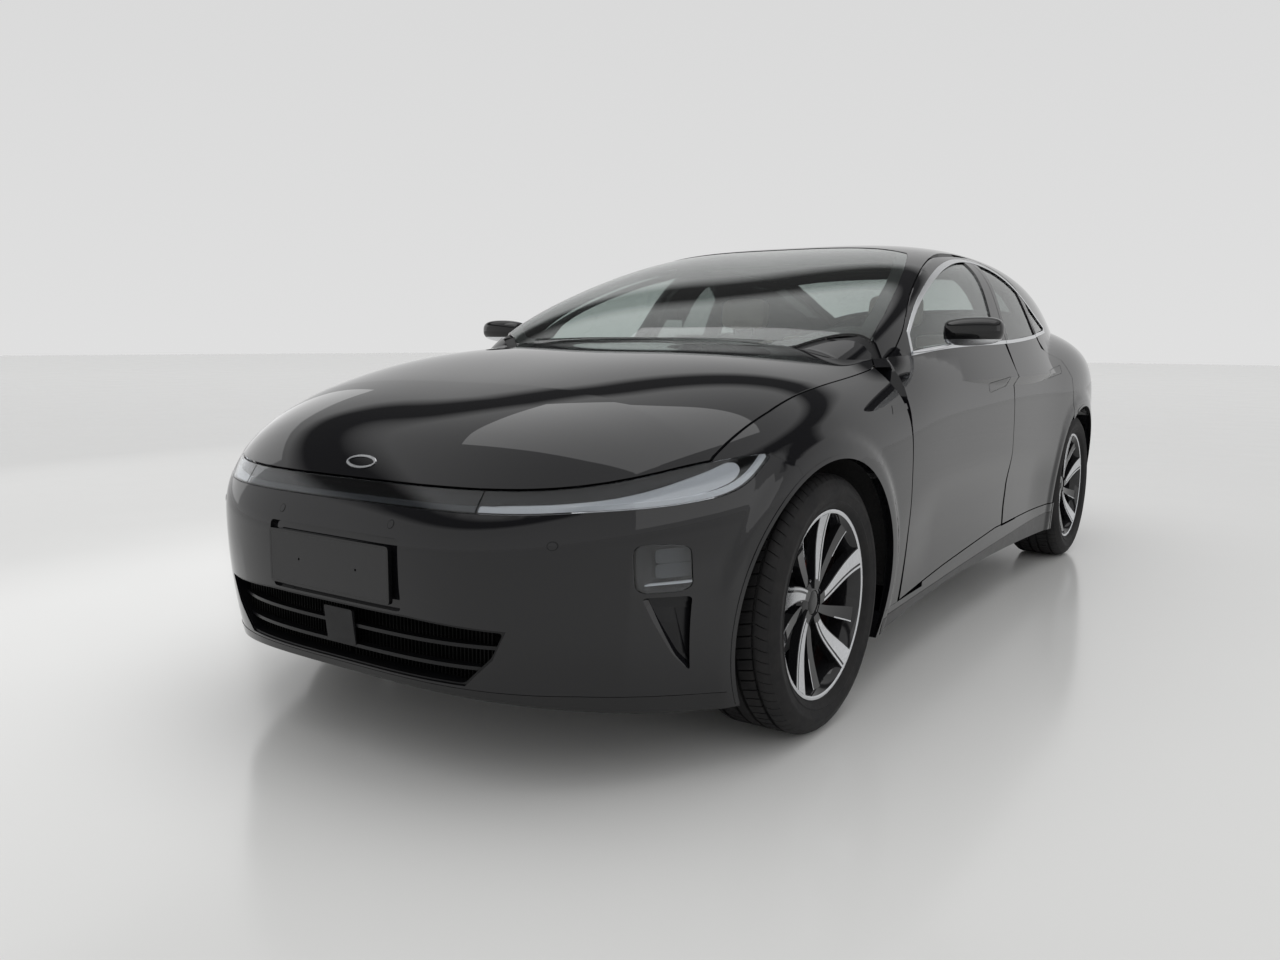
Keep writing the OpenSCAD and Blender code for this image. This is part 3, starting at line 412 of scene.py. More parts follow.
def flattened(o):
    """The object with its modifiers taken into a plain mesh."""
    me = bpy.data.meshes.new_from_object(o.evaluated_get(bpy.context.evaluated_depsgraph_get()))
    me.name = o.name
    o.modifiers.clear()
    o.data = me
    return o


def joined(name, objects):
    bm = bmesh.new()
    for o in objects:
        bm.from_mesh(o.data)
        bpy.data.objects.remove(o)
    me = bpy.data.meshes.new(name)
    bm.to_mesh(me)
    bm.free()
    o = bpy.data.objects.new(name, me)
    bpy.context.scene.collection.objects.link(o)
    return o


def gone(*objects):
    for o in objects:
        bpy.data.objects.remove(o)


def finished(o, body, slot, material, replaces=(), angle=32, soften=0.0):
    """Gives a piece its shading, material and body."""
    if soften:
        m = o.modifiers.new("soften", "BEVEL")
        m.width, m.segments, m.limit_method, m.angle_limit = soften, 2, "ANGLE", math.radians(40)
        flattened(o)
    me = o.data
    me.polygons.foreach_set("use_smooth", [True] * len(me.polygons))
    me.set_sharp_from_angle(angle=math.radians(angle))
    me.materials.clear()
    me.materials.append(material)
    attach(o, body)
    if replaces:
        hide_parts(*replaces)
    return o


# ---- shells shared by the panels ----

SHELLS = {}


def lower_body(i):
    lead = 0.0002 * 1.2 ** np.arange(42)
    lead = lead[lead < 0.42]
    middle_part = np.linspace(NOSE + 0.45, TAIL - 0.45, 320)
    ys = np.concatenate([NOSE + i + lead, middle_part, (TAIL - i - lead)[::-1]])
    return loft("lower", [ring(flank(y, i)) for y in ys])


def greenhouse(i):
    ys = np.linspace(at(13.2) + i, at(48) - i, 150)
    return loft("upper", [ring(glass_flank(y, i)) for y in ys])


def whole(low, high):
    """Closed solid of the car's outside, sunk by low under the shoulders and by high above them."""
    key = (round(low, 5), round(high, 5))
    if key not in SHELLS:
        a, b = lower_body(low), greenhouse(high)
        m = a.modifiers.new("join", "BOOLEAN")
        m.operation, m.object, m.solver = "UNION", b, "MANIFOLD"
        SHELLS[key] = flattened(a)
        SHELLS[key].name = f"shell_{key[0]}_{key[1]}"
        gone(b)
    return SHELLS[key]


def wall(low, high, low_in, high_in):
    key = ("wall", low, high, low_in, high_in)
    if key not in SHELLS:
        SHELLS[key] = carved("wall", whole(low, high), cut=[whole(low_in, high_in)])
    return SHELLS[key]


# ---- outlines, in metres ----

def mm(points):
    return [tuple(v * MM for v in p) for p in points]


def stations(points):
    """(millimetres, station) points to (x, y)."""
    return [(p[0] * MM, y_at(p[1])) for p in points]


def both_halves(points):
    return points + [(-p[0], p[1]) for p in points[::-1] if p[0] > 1e-6]


def along(curve, s0, s1, n, d=0.0):
    return [(y_at(s), float(curve(at(s))) + d) for s in np.linspace(s0, s1, n)]


WINDSCREEN = stations([(0, 13.4), (320, 13.65), (580, 14.7), (765, 16.3), (746, 17.9), (703, 20.1),
                       (655, 22), (592, 24.1), (560, 24.9), (440, 25.15), (0, 25.25)])
BONNET = stations([(0, -2), (810, -2), (796, 5.4), (811, 8.2), (814, 11), (812, 13.6), (812, 15.4),
                   (780, 16), (600, 14.45), (325, 13.45), (0, 13.25)])
ROOF = stations([(0, 25.35), (440, 25.25), (566, 25), (600, 27.5), (606, 31), (590, 34), (560, 36),
                 (0, 36.1)])
REAR_SCREEN = stations([(0, 36.2), (560, 36.1), (585, 39), (600, 42), (592, 44.1), (0, 44.2)])
BOOT_LID = stations([(0, 44.35), (640, 44.35), (715, 46.5), (735, 52), (0, 52)])
FRONT_WINDOW = (along(BELT, 26.8, 18.4, 12, 0.012) + along(GLASS_LINE, 18.6, 28.3, 26))
REAR_WINDOW = (along(BELT, 33.4, 28.5, 8, 0.012) + along(GLASS_LINE, 29.7, 33.2, 14))
QUARTER_WINDOW = (along(BELT, 36.2, 34, 5, 0.015) + along(GLASS_LINE, 33.9, 36.3, 8))
INTAKE = mm([(-505, 400), (-470, 330), (-395, 258), (395, 258), (470, 330), (505, 400), (250, 412),
             (-250, 412)])
LOWER_LAMP = mm([(726, 597), (728, 482), (806, 478), (804, 590)])
VENT = mm([(738, 472), (804, 466), (792, 280), (772, 330)])


def spline_outline(points, n=8, closed=True):
    """Smooth outline through points, straight to the eye where they lie in a line."""
    p = np.array(points, float)
    m = len(p)
    out = []
    for k in range(m if closed else m - 1):
        a, b, c, d = (p[(k + j) % m] if closed else p[min(max(k + j, 0), m - 1)] for j in (-1, 0, 1, 2))
        for t in np.linspace(0, 1, n, endpoint=False):
            out.append(tuple(0.5 * (2 * b + (c - a) * t + (2 * a - 5 * b + 4 * c - d) * t * t
                                    + (3 * b - a - 3 * c + d) * t ** 3)))
    if not closed:
        out.append(tuple(p[-1]))
    return out


LAMP_TIP = y_at(7.1)
ROUND_BACK = TAIL + 0.06
BUMPER_SIDE = [(NOSE - 0.05, 0), (FRONT_AXLE, 0), (FRONT_AXLE, AXLE_Z), (y_at(8.4), 0.64),
               (y_at(7.9), 0.742), (LAMP_TIP, 0.78), (y_at(5.9), 0.722), (NOSE - 0.05, 0.69)]
REAR_BUMPER_SIDE = [(ROUND_BACK, 0), (REAR_AXLE, 0), (REAR_AXLE, AXLE_Z), (y_at(42.6), 0.64),
                    (y_at(44.1), 0.775), (ROUND_BACK, 0.775)]
TAIL_LAMP_SIDE = [(ROUND_BACK, 0.775), (y_at(44.6), 0.775), (y_at(44.1), 0.815),
                  (y_at(45), 0.845), (ROUND_BACK, 0.845)]
GAP = 0.005
WING_SIDE = [(y_at(5), 2), (y_at(5), 0.64), (FRONT_AXLE, 0.3), (y_at(13.8), DOOR_FOOT - 0.004),
             (DOOR_FRONT - GAP, DOOR_FOOT - 0.004), (DOOR_FRONT - GAP, BELT_Z - 0.25),
             (DOOR_FRONT + 0.014 - GAP, BELT_Z - 0.17), (DOOR_FRONT + 0.05, BELT_Z - 0.09),
             (DOOR_FRONT + 0.075, BELT_Z - 0.058), (DOOR_FRONT + 0.075, 2)]
DOOR_BAND = ([(DOOR_TAIL + 0.06, DOOR_FOOT + 0.062), (DOOR_MID - 0.11, DOOR_FOOT + 0.066),
              (y_at(20.2), DOOR_FOOT + 0.03), (DOOR_FRONT, DOOR_FOOT), (DOOR_FRONT, BELT_Z - 0.25),
              (DOOR_FRONT + 0.014, BELT_Z - 0.17), (DOOR_FRONT + 0.055, BELT_Z - 0.09),
              (DOOR_FRONT + 0.095, BELT_Z - 0.05), (y_at(17.3), float(GLASS_LINE(at(18.1))) - 0.016)]
             + along(GLASS_LINE, 18.2, 35.3, 26, 0.034) + [(DOOR_TAIL + 0.06, BELT_Z)])
HINGE_X = HALF - 0.087
FRONT_HINGE = (HINGE_X, DOOR_FRONT + 0.102)
REAR_HINGE = (HINGE_X - 0.010, DOOR_MID + 0.090)
HINGE_TOP = BELT_Z - 0.075
FRONT_NOSE, REAR_NOSE = math.hypot(0.102, 0.082), math.hypot(0.090, 0.072)
FRONT_SWEEP = DOOR_MID - GAP - FRONT_HINGE[1]
FRONT_EDGE = [(FRONT_SWEEP + 0.002, 0.56), (FRONT_SWEEP + 0.002, 0.76), (FRONT_SWEEP, BELT_Z),
              (FRONT_SWEEP + 0.12, ROOF_Z - 0.08)]
REAR_SWEEP = DOOR_TAIL - REAR_HINGE[1]
REAR_EDGE = [(REAR_SWEEP + 0.005, 0.74), (REAR_SWEEP, BELT_Z - 0.23),
             (REAR_SWEEP - 0.015, BELT_Z - 0.155),
             (REAR_SWEEP - 0.13, BELT_Z - 0.074), (REAR_SWEEP - 0.405, BELT_Z - 0.02),
             (REAR_SWEEP - 0.43, BELT_Z + 0.02), (REAR_SWEEP - 0.425, ROOF_Z - 0.08)]
DAYLIGHT = (along(BELT, 36.2, 34, 5, 0.015) + along(BELT, 33.4, 18.4, 24, 0.012)
            + along(GLASS_LINE, 18.6, 36.3, 40))


def side(outline, d=0.0, start=0.5):
    """Solid through the left side of the car."""
    return prism("side", grown(outline, d) if d else outline, start, HALF * 2, "side")


def across(outline, d=0.0):
    """Solid through both sides of the car."""
    return prism("across", grown(outline, d) if d else outline, -HALF * 2, HALF * 2, "side")


def plan(outline, d=0.0, low=0.0, high=2.0):
    full = both_halves(outline)
    return prism("plan", grown(full, d) if d else full, low, high, "plan")


def turned(hinge, profile, d=0.0):
    """Solid swept about a door's hinge, bounded by the edge that clears the next panel."""
    edge = [(r + d, z) for r, z in profile]
    outline = [(0, 0), (edge[0][0], 0)] + edge + [(edge[-1][0], 2), (0, 2)]
    return revolve("turned", outline, (hinge[0], hinge[1], 0), 180, "Z")


def nose_disc(hinge, r, high, low=0.0):
    return revolve("disc", [(0, low), (r, low), (r, high), (0, high)], (hinge[0], hinge[1], 0), 96, "Z")


def arches(r, start=0.5):
    """Solids of all four wheel arches."""
    made = [revolve("arch", [(0, start * s), (r, start * s), (r, 1.2 * s), (0, 1.2 * s)], (0, y, AXLE_Z),
                    128)
            for y in (FRONT_AXLE, REAR_AXLE) for s in (1, -1)]
    return made


def ahead_of_nose(hinge, r):
    block = box("ahead", (0, hinge[1] - 0.4, 0), (2 * HALF, hinge[1], HINGE_TOP))
    disc = nose_disc(hinge, r, HINGE_TOP + 0.01, -0.01)
    o = carved("ahead_cut", block, cut=[disc])
    gone(block, disc)
    return o


def above_lamps(d):
    top = [(y, z + d) for y, z in along(LAMP_TOP, -1, 7.1, 24)]
    return across(top + [(LAMP_TIP + 3, 0.78 + d), (LAMP_TIP + 3, 2), (NOSE - 0.09, 2)])


def lamp_strip(d=0.0, high=0.0, low=0.0, s1=7.05):
    """Solid across the car between the strip's edges, each of them moved."""
    top = along(LAMP_TOP, -1, s1, 40, -high)
    foot = along(LAMP_FOOT, s1, -1, 40, low)
    return across(top + foot, d)


# ---- materials ----

class Shader:
    """A new material with a Principled surface and short ways to add nodes to it."""

    def __init__(self, name, **sockets):
        self.mat = bpy.data.materials.new(name)
        self.mat.use_nodes = True
        self.tree = self.mat.node_tree
        self.bsdf = next(n for n in self.tree.nodes if n.type == "BSDF_PRINCIPLED")
        self.coords = self.tree.nodes.new("ShaderNodeTexCoord").outputs["Object"]
        for key, value in sockets.items():
            socket = self.bsdf.inputs[key.replace("_", " ").title().replace("Ior", "IOR")]
            is_colour = socket.type == "RGBA" and len(value) == 3
            socket.default_value = (*value, 1) if is_colour else value

    def add(self, kind, inputs=(), **settings):
        n = self.tree.nodes.new(kind)
        for key, value in settings.items():
            setattr(n, key, value)
        for key, value in dict(inputs).items():
            if isinstance(value, bpy.types.NodeSocket):
                self.tree.links.new(value, n.inputs[key])
            else:
                n.inputs[key].default_value = value
        return n

    def stretched(self, scale, turn=(0, 0, 0)):
        return self.add("ShaderNodeMapping", {"Vector": self.coords, "Scale": scale,
                                              "Rotation": turn}).outputs["Vector"]

    def noise(self, scale, detail=3, where=None):
        return self.add("ShaderNodeTexNoise", {"Vector": where or self.coords, "Scale": scale,
                                               "Detail": detail}).outputs["Fac"]

    def blend(self, factor, a, b):
        """Colour from a to b along a factor."""
        ramp = self.add("ShaderNodeValToRGB", {"Fac": factor})
        ramp.color_ramp.elements[0].position = 0.3
        ramp.color_ramp.elements[1].position = 0.7
        ramp.color_ramp.elements[0].color = (*a, 1)
        ramp.color_ramp.elements[1].color = (*b, 1)
        return ramp.outputs["Color"]

    def set(self, socket, value):
        self.tree.links.new(value, self.bsdf.inputs[socket])
        return self

    def bump(self, height, strength, distance=0.001):
        node = self.add("ShaderNodeBump", {"Height": height, "Strength": strength, "Distance": distance})
        self.tree.links.new(node.outputs["Normal"], self.bsdf.inputs["Normal"])
        return self

    def rough(self, factor, low, high):
        spread = self.add("ShaderNodeMapRange", {"Value": factor, "To Min": low, "To Max": high})
        return self.set("Roughness", spread.outputs["Result"])


MATERIALS = {}


def shade(c, k):
    return tuple(min(1, v * k) for v in c[:3])


def make_materials():
    s = bpy.context.scene
    paint, tint = s.saloon_panels.paint, s.saloon_glass.tint
    alloy, leather, plastic = s.saloon_wheels.alloy, s.saloon_cabin.leather, s.saloon_cabin.plastic
    m = MATERIALS

    def coated(name, base, rough, peel):
        sh = Shader(name, base_color=shade(base, 1), coat_weight=1.0, coat_roughness=0.012, coat_ior=1.5,
                    specular_ior_level=0.0)
        flakes = sh.noise(2600, 1)
        sh.set("Base Color", sh.blend(flakes, shade(base, 0.8), shade(base, 1.6)))
        sh.rough(sh.noise(7, 2), rough, rough + 0.06)
        return sh.bump(sh.noise(420, 1), peel, 0.0004)

    m["paint"] = coated("deep gloss paint", paint, 0.26, 0.018)
    m["gloss"] = coated("polished black trim", (0.004, 0.004, 0.0045), 0.10, 0.006)

    sh = Shader("grained black plastic", base_color=(0.010, 0.010, 0.011), roughness=0.5,
                specular_ior_level=0.35)
    sh.rough(sh.noise(40, 3), 0.42, 0.56).bump(sh.noise(1400, 4), 0.28, 0.0006)
    m["plastic"] = sh

    sh = Shader("satin black plastic", base_color=(0.006, 0.006, 0.007), roughness=0.3,
                specular_ior_level=0.3)
    sh.rough(sh.noise(30, 2), 0.26, 0.34).bump(sh.noise(900, 2), 0.08, 0.0004)
    m["satin_black"] = sh

    def brushed(name, c, low, high, metal=1.0, scale=(4, 4, 240), strength=0.06):
        sh = Shader(name, base_color=c, metallic=metal, roughness=low)
        grain = sh.noise(30, 4, sh.stretched(scale))
        sh.set("Base Color", sh.blend(grain, shade(c, 0.88), shade(c, 1.06)))
        return sh.rough(grain, low, high).bump(grain, strength, 0.0003)

    m["bright"] = brushed("satin bright trim", (0.72, 0.73, 0.75), 0.20, 0.30, strength=0.02)
    m["machined"] = brushed("machined alloy", alloy, 0.17, 0.32, scale=(60, 3, 3), strength=0.05)
    m["cast"] = brushed("cast aluminium", (0.42, 0.43, 0.44), 0.45, 0.6, scale=(30, 30, 30),
                        strength=0.35)
    m["steel"] = brushed("bare steel", (0.50, 0.50, 0.51), 0.28, 0.42, scale=(60, 8, 8), strength=0.10)
    m["dark_alloy"] = coated("black wheel lacquer", (0.010, 0.010, 0.011), 0.24, 0.02)
    m["caliper"] = coated("red-brown lacquer", (0.16, 0.035, 0.022), 0.3, 0.03)

    def clear(name, c, rough=0.0, ior=1.5):
        sh = Shader(name, base_color=c, roughness=rough, ior=ior, transmission_weight=1.0)
        return sh.bump(sh.noise(3, 1), 0.004, 0.001)

    m["glass"] = clear("tinted window glass", tuple(0.55 + 3.0 * v for v in tint[:3]))
    m["privacy"] = clear("dark window glass", tuple(0.22 + 1.6 * v for v in tint[:3]))
    m["lens"] = clear("smoked lamp cover", (0.52, 0.54, 0.56))
    sh = clear("red lamp cover", (0.55, 0.012, 0.012), 0.05)
    sh.bump(sh.add("ShaderNodeTexWave", {"Vector": sh.coords, "Scale": 90}).outputs["Fac"], 0.2, 0.0006)
    m["red_lens"] = sh

    sh = Shader("frosted light guide", base_color=(0.78, 0.80, 0.83), roughness=0.22,
                emission_strength=0.35,
                emission_color=(0.95, 0.97, 1.0), coat_weight=0.6)
    ribs = sh.add("ShaderNodeTexWave", {"Vector": sh.coords, "Scale": 60}, bands_direction="X")
    sh.bump(ribs.outputs["Fac"], 0.12, 0.0006)
    m["guide"] = sh

    sh = Shader("frosted grey guide", base_color=(0.17, 0.18, 0.19), roughness=0.25, coat_weight=0.8)
    sh.bump(sh.add("ShaderNodeTexWave", {"Vector": sh.coords, "Scale": 70},
                   bands_direction="X").outputs["Fac"], 0.15, 0.0006)
    m["grey_guide"] = sh

    sh = Shader("mirror reflector", base_color=(0.85, 0.86, 0.88), metallic=1.0, roughness=0.06)
    sh.bump(sh.noise(300, 1), 0.02, 0.0004)
    m["reflector"] = sh

    sh = Shader("matt black mesh", base_color=(0.003, 0.003, 0.003), roughness=0.65,
                specular_ior_level=0.12)
    m["mesh"] = sh.bump(sh.noise(700, 2), 0.1, 0.0004)

    sh = Shader("black tyre rubber", base_color=(0.012, 0.012, 0.013), roughness=0.7,
                specular_ior_level=0.3)
    dust = sh.noise(14, 4)
    sh.set("Base Color", sh.blend(dust, (0.008, 0.008, 0.009), (0.016, 0.015, 0.015)))
    sh.rough(sh.noise(60, 3), 0.58, 0.8).bump(sh.noise(700, 4), 0.3, 0.0008)
    m["rubber"] = sh

    sh = Shader("perforated leather", base_color=leather, roughness=0.5, sheen_weight=0.15)
    cells = sh.add("ShaderNodeTexVoronoi", {"Vector": sh.coords, "Scale": 420},
                   feature="DISTANCE_TO_EDGE")
    wear = sh.noise(5, 4)
    sh.set("Base Color", sh.blend(wear, shade(leather, 0.86), shade(leather, 1.08)))
    sh.rough(wear, 0.42, 0.58).bump(cells.outputs["Distance"], 0.5, 0.0009)
    m["leather"] = sh

    sh = Shader("soft-touch dashboard", base_color=plastic, roughness=0.6)
    cells = sh.add("ShaderNodeTexVoronoi", {"Vector": sh.coords, "Scale": 700},
                   feature="DISTANCE_TO_EDGE")
    sh.rough(sh.noise(20, 3), 0.52, 0.68).bump(cells.outputs["Distance"], 0.4, 0.0006)
    m["dash"] = sh

    sh = Shader("woven lining", base_color=(0.42, 0.40, 0.37), roughness=0.9, sheen_weight=0.3)
    weave = sh.add("ShaderNodeTexWave", {"Vector": sh.coords, "Scale": 260, "Distortion": 2.0})
    sh.bump(weave.outputs["Fac"], 0.4, 0.0006)
    m["lining"] = sh

    sh = Shader("cut-pile carpet", base_color=(0.035, 0.033, 0.031), roughness=0.95, sheen_weight=0.4)
    pile = sh.noise(900, 5)
    sh.set("Base Color", sh.blend(pile, (0.022, 0.021, 0.020),
                                  (0.060, 0.056, 0.052))).bump(pile, 0.8, 0.002)
    m["carpet"] = sh

    sh = Shader("sealed underbody", base_color=(0.022, 0.022, 0.023), roughness=0.7)
    grit = sh.noise(160, 5)
    sh.set("Base Color", sh.blend(grit, (0.016, 0.016, 0.017), (0.034, 0.033, 0.033)))
    m["underbody"] = sh.bump(grit, 0.5, 0.002)

    sh = Shader("display glass", base_color=(0.006, 0.007, 0.009), roughness=0.08, coat_weight=1.0)
    sh.rough(sh.noise(8, 3), 0.06, 0.16)
    m["screen"] = sh

    sh = Shader("number plate face", base_color=(0.012, 0.012, 0.013), roughness=0.35)
    sh.rough(sh.noise(50, 2), 0.3, 0.4).bump(sh.noise(260, 3), 0.1, 0.0005)
    m["plate"] = sh


def mat(name):
    return MATERIALS[name].mat


# ---- repeats ----

def repeated(name, part, count, centre, turn, step, material):
    """Copies of part at equal turns or steps, made with Geometry Nodes, as one plain mesh."""
    tree = bpy.data.node_groups.new(f"{name}_repeat", "GeometryNodeTree")
    face = tree.interface
    face.new_socket("Geometry", in_out="OUTPUT", socket_type="NodeSocketGeometry")
    ids = {}
    for label, kind, value in (("Part", "NodeSocketObject", None), ("Count", "NodeSocketInt", count),
                               ("Turn", "NodeSocketVector", turn), ("Step", "NodeSocketVector", step),
                               ("Material", "NodeSocketMaterial", None)):
        item = face.new_socket(label, in_out="INPUT", socket_type=kind)
        ids[label] = item.identifier
        if value is not None:
            item.default_value = value
    add, link = tree.nodes.new, tree.links.new
    given, out = add("NodeGroupInput"), add("NodeGroupOutput")
    points, place = add("GeometryNodePoints"), add("GeometryNodeInstanceOnPoints")
    info, index = add("GeometryNodeObjectInfo"), add("GeometryNodeInputIndex")
    spin, slide = add("ShaderNodeVectorMath"), add("ShaderNodeVectorMath")
    spin.operation = slide.operation = "SCALE"
    real, paint = add("GeometryNodeRealizeInstances"), add("GeometryNodeSetMaterial")
    link(given.outputs["Count"], points.inputs["Count"])
    link(given.outputs["Part"], info.inputs["Object"])
    link(given.outputs["Turn"], spin.inputs[0])
    link(index.outputs[0], spin.inputs["Scale"])
    link(given.outputs["Step"], slide.inputs[0])
    link(index.outputs[0], slide.inputs["Scale"])
    link(slide.outputs[0], points.inputs["Position"])
    link(points.outputs[0], place.inputs["Points"])
    link(info.outputs["Geometry"], place.inputs["Instance"])
    link(spin.outputs[0], place.inputs["Rotation"])
    link(place.outputs[0], real.inputs[0])
    link(real.outputs[0], paint.inputs["Geometry"])
    link(given.outputs["Material"], paint.inputs["Material"])
    link(paint.outputs[0], out.inputs[0])
    o = mesh_object(name, [], [])
    modifier = o.modifiers.new("repeat", "NODES")
    modifier.node_group = tree
    modifier[ids["Part"]] = part
    modifier[ids["Count"]] = count
    modifier[ids["Turn"]] = turn
    modifier[ids["Step"]] = step
    modifier[ids["Material"]] = material
    flattened(o)
    o.data.transform(Matrix.Translation(centre))
    return o


# ---- operators, one for each group of pieces ----

class MakePanels(bpy.types.Operator):
    """Builds the bonnet, wings, body sides, roof, boot lid and bumpers"""
    bl_idname = "saloon.panels"
    bl_label = "Panels"

    def execute(self, context):
        gap = context.scene.saloon_panels.gap
        skin = wall(0, 0, LID_DEPTH, LID_DEPTH)
        paint = mat("paint")

        bonnet = carved("bonnet_skin", skin, [plan(BONNET, -gap / 2), above_lamps(gap)])
        finished(bonnet, "bonnet", "paint", paint, ["bonnet"])

        lower = carved("lower_wall", lower_body_shell(0), cut=[lower_body_shell(LID_DEPTH)])
        upper = greenhouse(-0.0005)
        tools = [plan(BONNET, gap / 2), plan(WINDSCREEN, SEAM), side(BUMPER_SIDE, SEAM),
                 lamp_strip(SEAM),
                 nose_disc(FRONT_HINGE, FRONT_NOSE + gap, HINGE_TOP), upper] + arches(ARCH_R)
        wing = carved("wing_left", lower, [side(WING_SIDE)], tools)
        both = joined("front_wing_skins", [mirror_copy(wing, "wing_right"), wing])
        finished(both, "root", "paint", paint, ["front_wings"])

        self.bumpers()
        self.sides(gap)

        roof = carved("roof_skin", wall(0, 0, PANEL_DEPTH, PANEL_DEPTH), [plan(ROOF, -0.00025, BELT_Z)])
        finished(roof, "root", "gloss_black", mat("gloss"), ["roof_panel"])
        lid = carved("boot_lid_skin", skin, [plan(BOOT_LID, -gap / 2, 0.845 + gap)])
        finished(lid, "boot_lid", "paint", paint, ["boot_lid"])
        return {"FINISHED"}

    def bumpers(self):
        skin = wall(0, 0, PANEL_DEPTH, PANEL_DEPTH)
        front = across(BUMPER_SIDE)
        holes = [prism("hole", INTAKE, NOSE - 0.05, NOSE + 0.4, "front"), lamp_strip(SEAM)]
        for outline, corner in ((LOWER_LAMP, 0.024), (VENT, 0.010)):
            for s in (1, -1):
                hole = [(x * s, z) for x, z in rounded(outline, corner)]
                holes.append(prism("hole", hole, NOSE - 0.05, NOSE + 0.7, "front"))
        pocket = [(-0.235, 0.418), (0.235, 0.418), (0.235, 0.592), (-0.235, 0.592)]
        recess = carved("recess", wall(-0.001, -0.001, 0.010, 0.010),
                        [prism("p", rounded(pocket, 0.012), NOSE - 0.05, NOSE + 0.2, "front")])
        bumper = carved("front_bumper_skin", skin, [front], holes + arches(ARCH_R) + [recess])
        finished(bumper, "root", "paint", mat("paint"), ["front_bumper"])
        pocket = [(-0.27, 0.475), (0.27, 0.475), (0.27, 0.645), (-0.27, 0.645)]
        recess = carved("recess", wall(-0.001, -0.001, 0.010, 0.010),
                        [prism("p", rounded(pocket, 0.012), TAIL - 0.2, TAIL + 0.05, "front")])
        rear = carved("rear_bumper_skin", skin, [across(REAR_BUMPER_SIDE)], arches(ARCH_R) + [recess])
        finished(rear, "root", "paint", mat("paint"), ["rear_bumper"])

    def sides(self, gap):
        span = [(DOOR_FRONT - 0.06, SILL_Z - 0.06), (FRONT_AXLE, SILL_Z - 0.06), (FRONT_AXLE, 0.3),
                (y_at(13.8), DOOR_FOOT - 0.005), (DOOR_FRONT - gap - 0.0005, DOOR_FOOT - 0.005),
                (DOOR_FRONT - gap - 0.0005, 2), (TAIL + 0.05, 2), (TAIL + 0.05, SILL_Z - 0.06)]
        front = (along(GLASS_LINE, 19.3, 27.8, 14, -0.016)
                 + [(y_at(27.1), DOOR_FOOT + 0.095), (y_at(18.6), DOOR_FOOT + 0.09),
                    (y_at(18.4), BELT_Z - 0.06)])
        rear = ([(y_at(33.6), DOOR_FOOT + 0.095), (y_at(29.4), DOOR_FOOT + 0.095)]
                + along(GLASS_LINE, 30.2, 33.2, 8, -0.016)
                + [(y_at(33.8), BELT_Z + 0.01), (y_at(35.9), BELT_Z - 0.143), (y_at(36.2), 0.82)])
        inner = whole(0.116, 0.050)
        ahead = box("ahead", (0, -3, 0), (2 * HALF, REAR_HINGE[1], 2))
        swept = turned(REAR_HINGE, REAR_EDGE, gap)
        reach_of_doors = [carved("step", side(DOOR_BAND, gap), [solid],
                                 [inner]) for solid in (ahead, swept)]
        cuts = [whole(0.150, 0.072), box("tub", (-1, -3, 0), (0.7, 3, 0.4)),
                box("cowl_side", (-1, -3, 0), (0.762, y_at(16.3), 0.95))] + reach_of_doors
        cuts += [side(front), side(rear), side(QUARTER_WINDOW), side(WING_SIDE, SEAM),
                 side(REAR_BUMPER_SIDE, SEAM, 0), side(TAIL_LAMP_SIDE, SEAM, 0),
                 nose_disc(FRONT_HINGE, FRONT_NOSE + gap, HINGE_TOP + gap, DOOR_FOOT - gap),
                 nose_disc(REAR_HINGE, REAR_NOSE + gap, BELT_Z + 0.11, DOOR_FOOT + 0.062 - gap),
                 plan(ROOF, 0.00025, BELT_Z - 0.15), plan(REAR_SCREEN, 0.00025, BELT_Z - 0.15),
                 plan(WINDSCREEN, 0.00025, BELT_Z - 0.4), plan(BONNET, gap / 2, BELT_Z - 0.3),
                 plan(BOOT_LID, gap / 2, 0.4)] + arches(ARCH_R)
        liner = revolve("liner", [(0, 0.5), (ARCH_R + 0.066, 0.5), (ARCH_R + 0.066, HALF - 0.06),
                                  (0, HALF - 0.06)],
                        (0, FRONT_AXLE, AXLE_Z), 96)
        left = carved("side_left", whole(0, 0), [side(span, 0, 0.0005)], cuts + [liner])
        both = joined("body_side_skins", [mirror_copy(left, "side_right"), left])
        finished(both, "root", "paint", mat("paint"), ["body_sides"])


def lower_body_shell(i):
    key = ("lower", i)
    if key not in SHELLS:
        SHELLS[key] = lower_body(i)
    return SHELLS[key]


DOOR_TOOLS = {}


def door_tools(gap):
    if not DOOR_TOOLS:
        DOOR_TOOLS["front"] = ([turned(FRONT_HINGE, FRONT_EDGE)],
                               [ahead_of_nose(FRONT_HINGE, FRONT_NOSE),
                                nose_disc(REAR_HINGE, REAR_NOSE + gap, BELT_Z)])
        DOOR_TOOLS["rear"] = ([turned(REAR_HINGE, REAR_EDGE)],
                              [turned(FRONT_HINGE, FRONT_EDGE, gap),
                               ahead_of_nose(REAR_HINGE, REAR_NOSE)])
    return DOOR_TOOLS


def both_doors(name, left, which, slot, material, replaces=(), **options):
    """Finishes a piece of the left door and its mirror image on the right."""
    right = mirror_copy(left, f"{name}_right")
    left.name = f"{name}_left"
    for o, s in ((left, "left"), (right, "right")):
        finished(o, f"door_{which}_{s}", slot, material, [f"{r}_{s}" for r in replaces], **options)


HANDLES = {"front": (y_at(25.75), 0.895), "rear": (y_at(34.9), 0.925)}


def handle_outline(which, d=0.0):
    y, z = HANDLES[which]
    dy, dz = 0.117 + d, 0.0165 + d
    rise = 0.010
    return rounded([(y - dy, z - dz - rise), (y + dy, z - dz + rise), (y + dy, z + dz + rise),
                    (y - dy, z + dz - rise)], 0.012 + d)


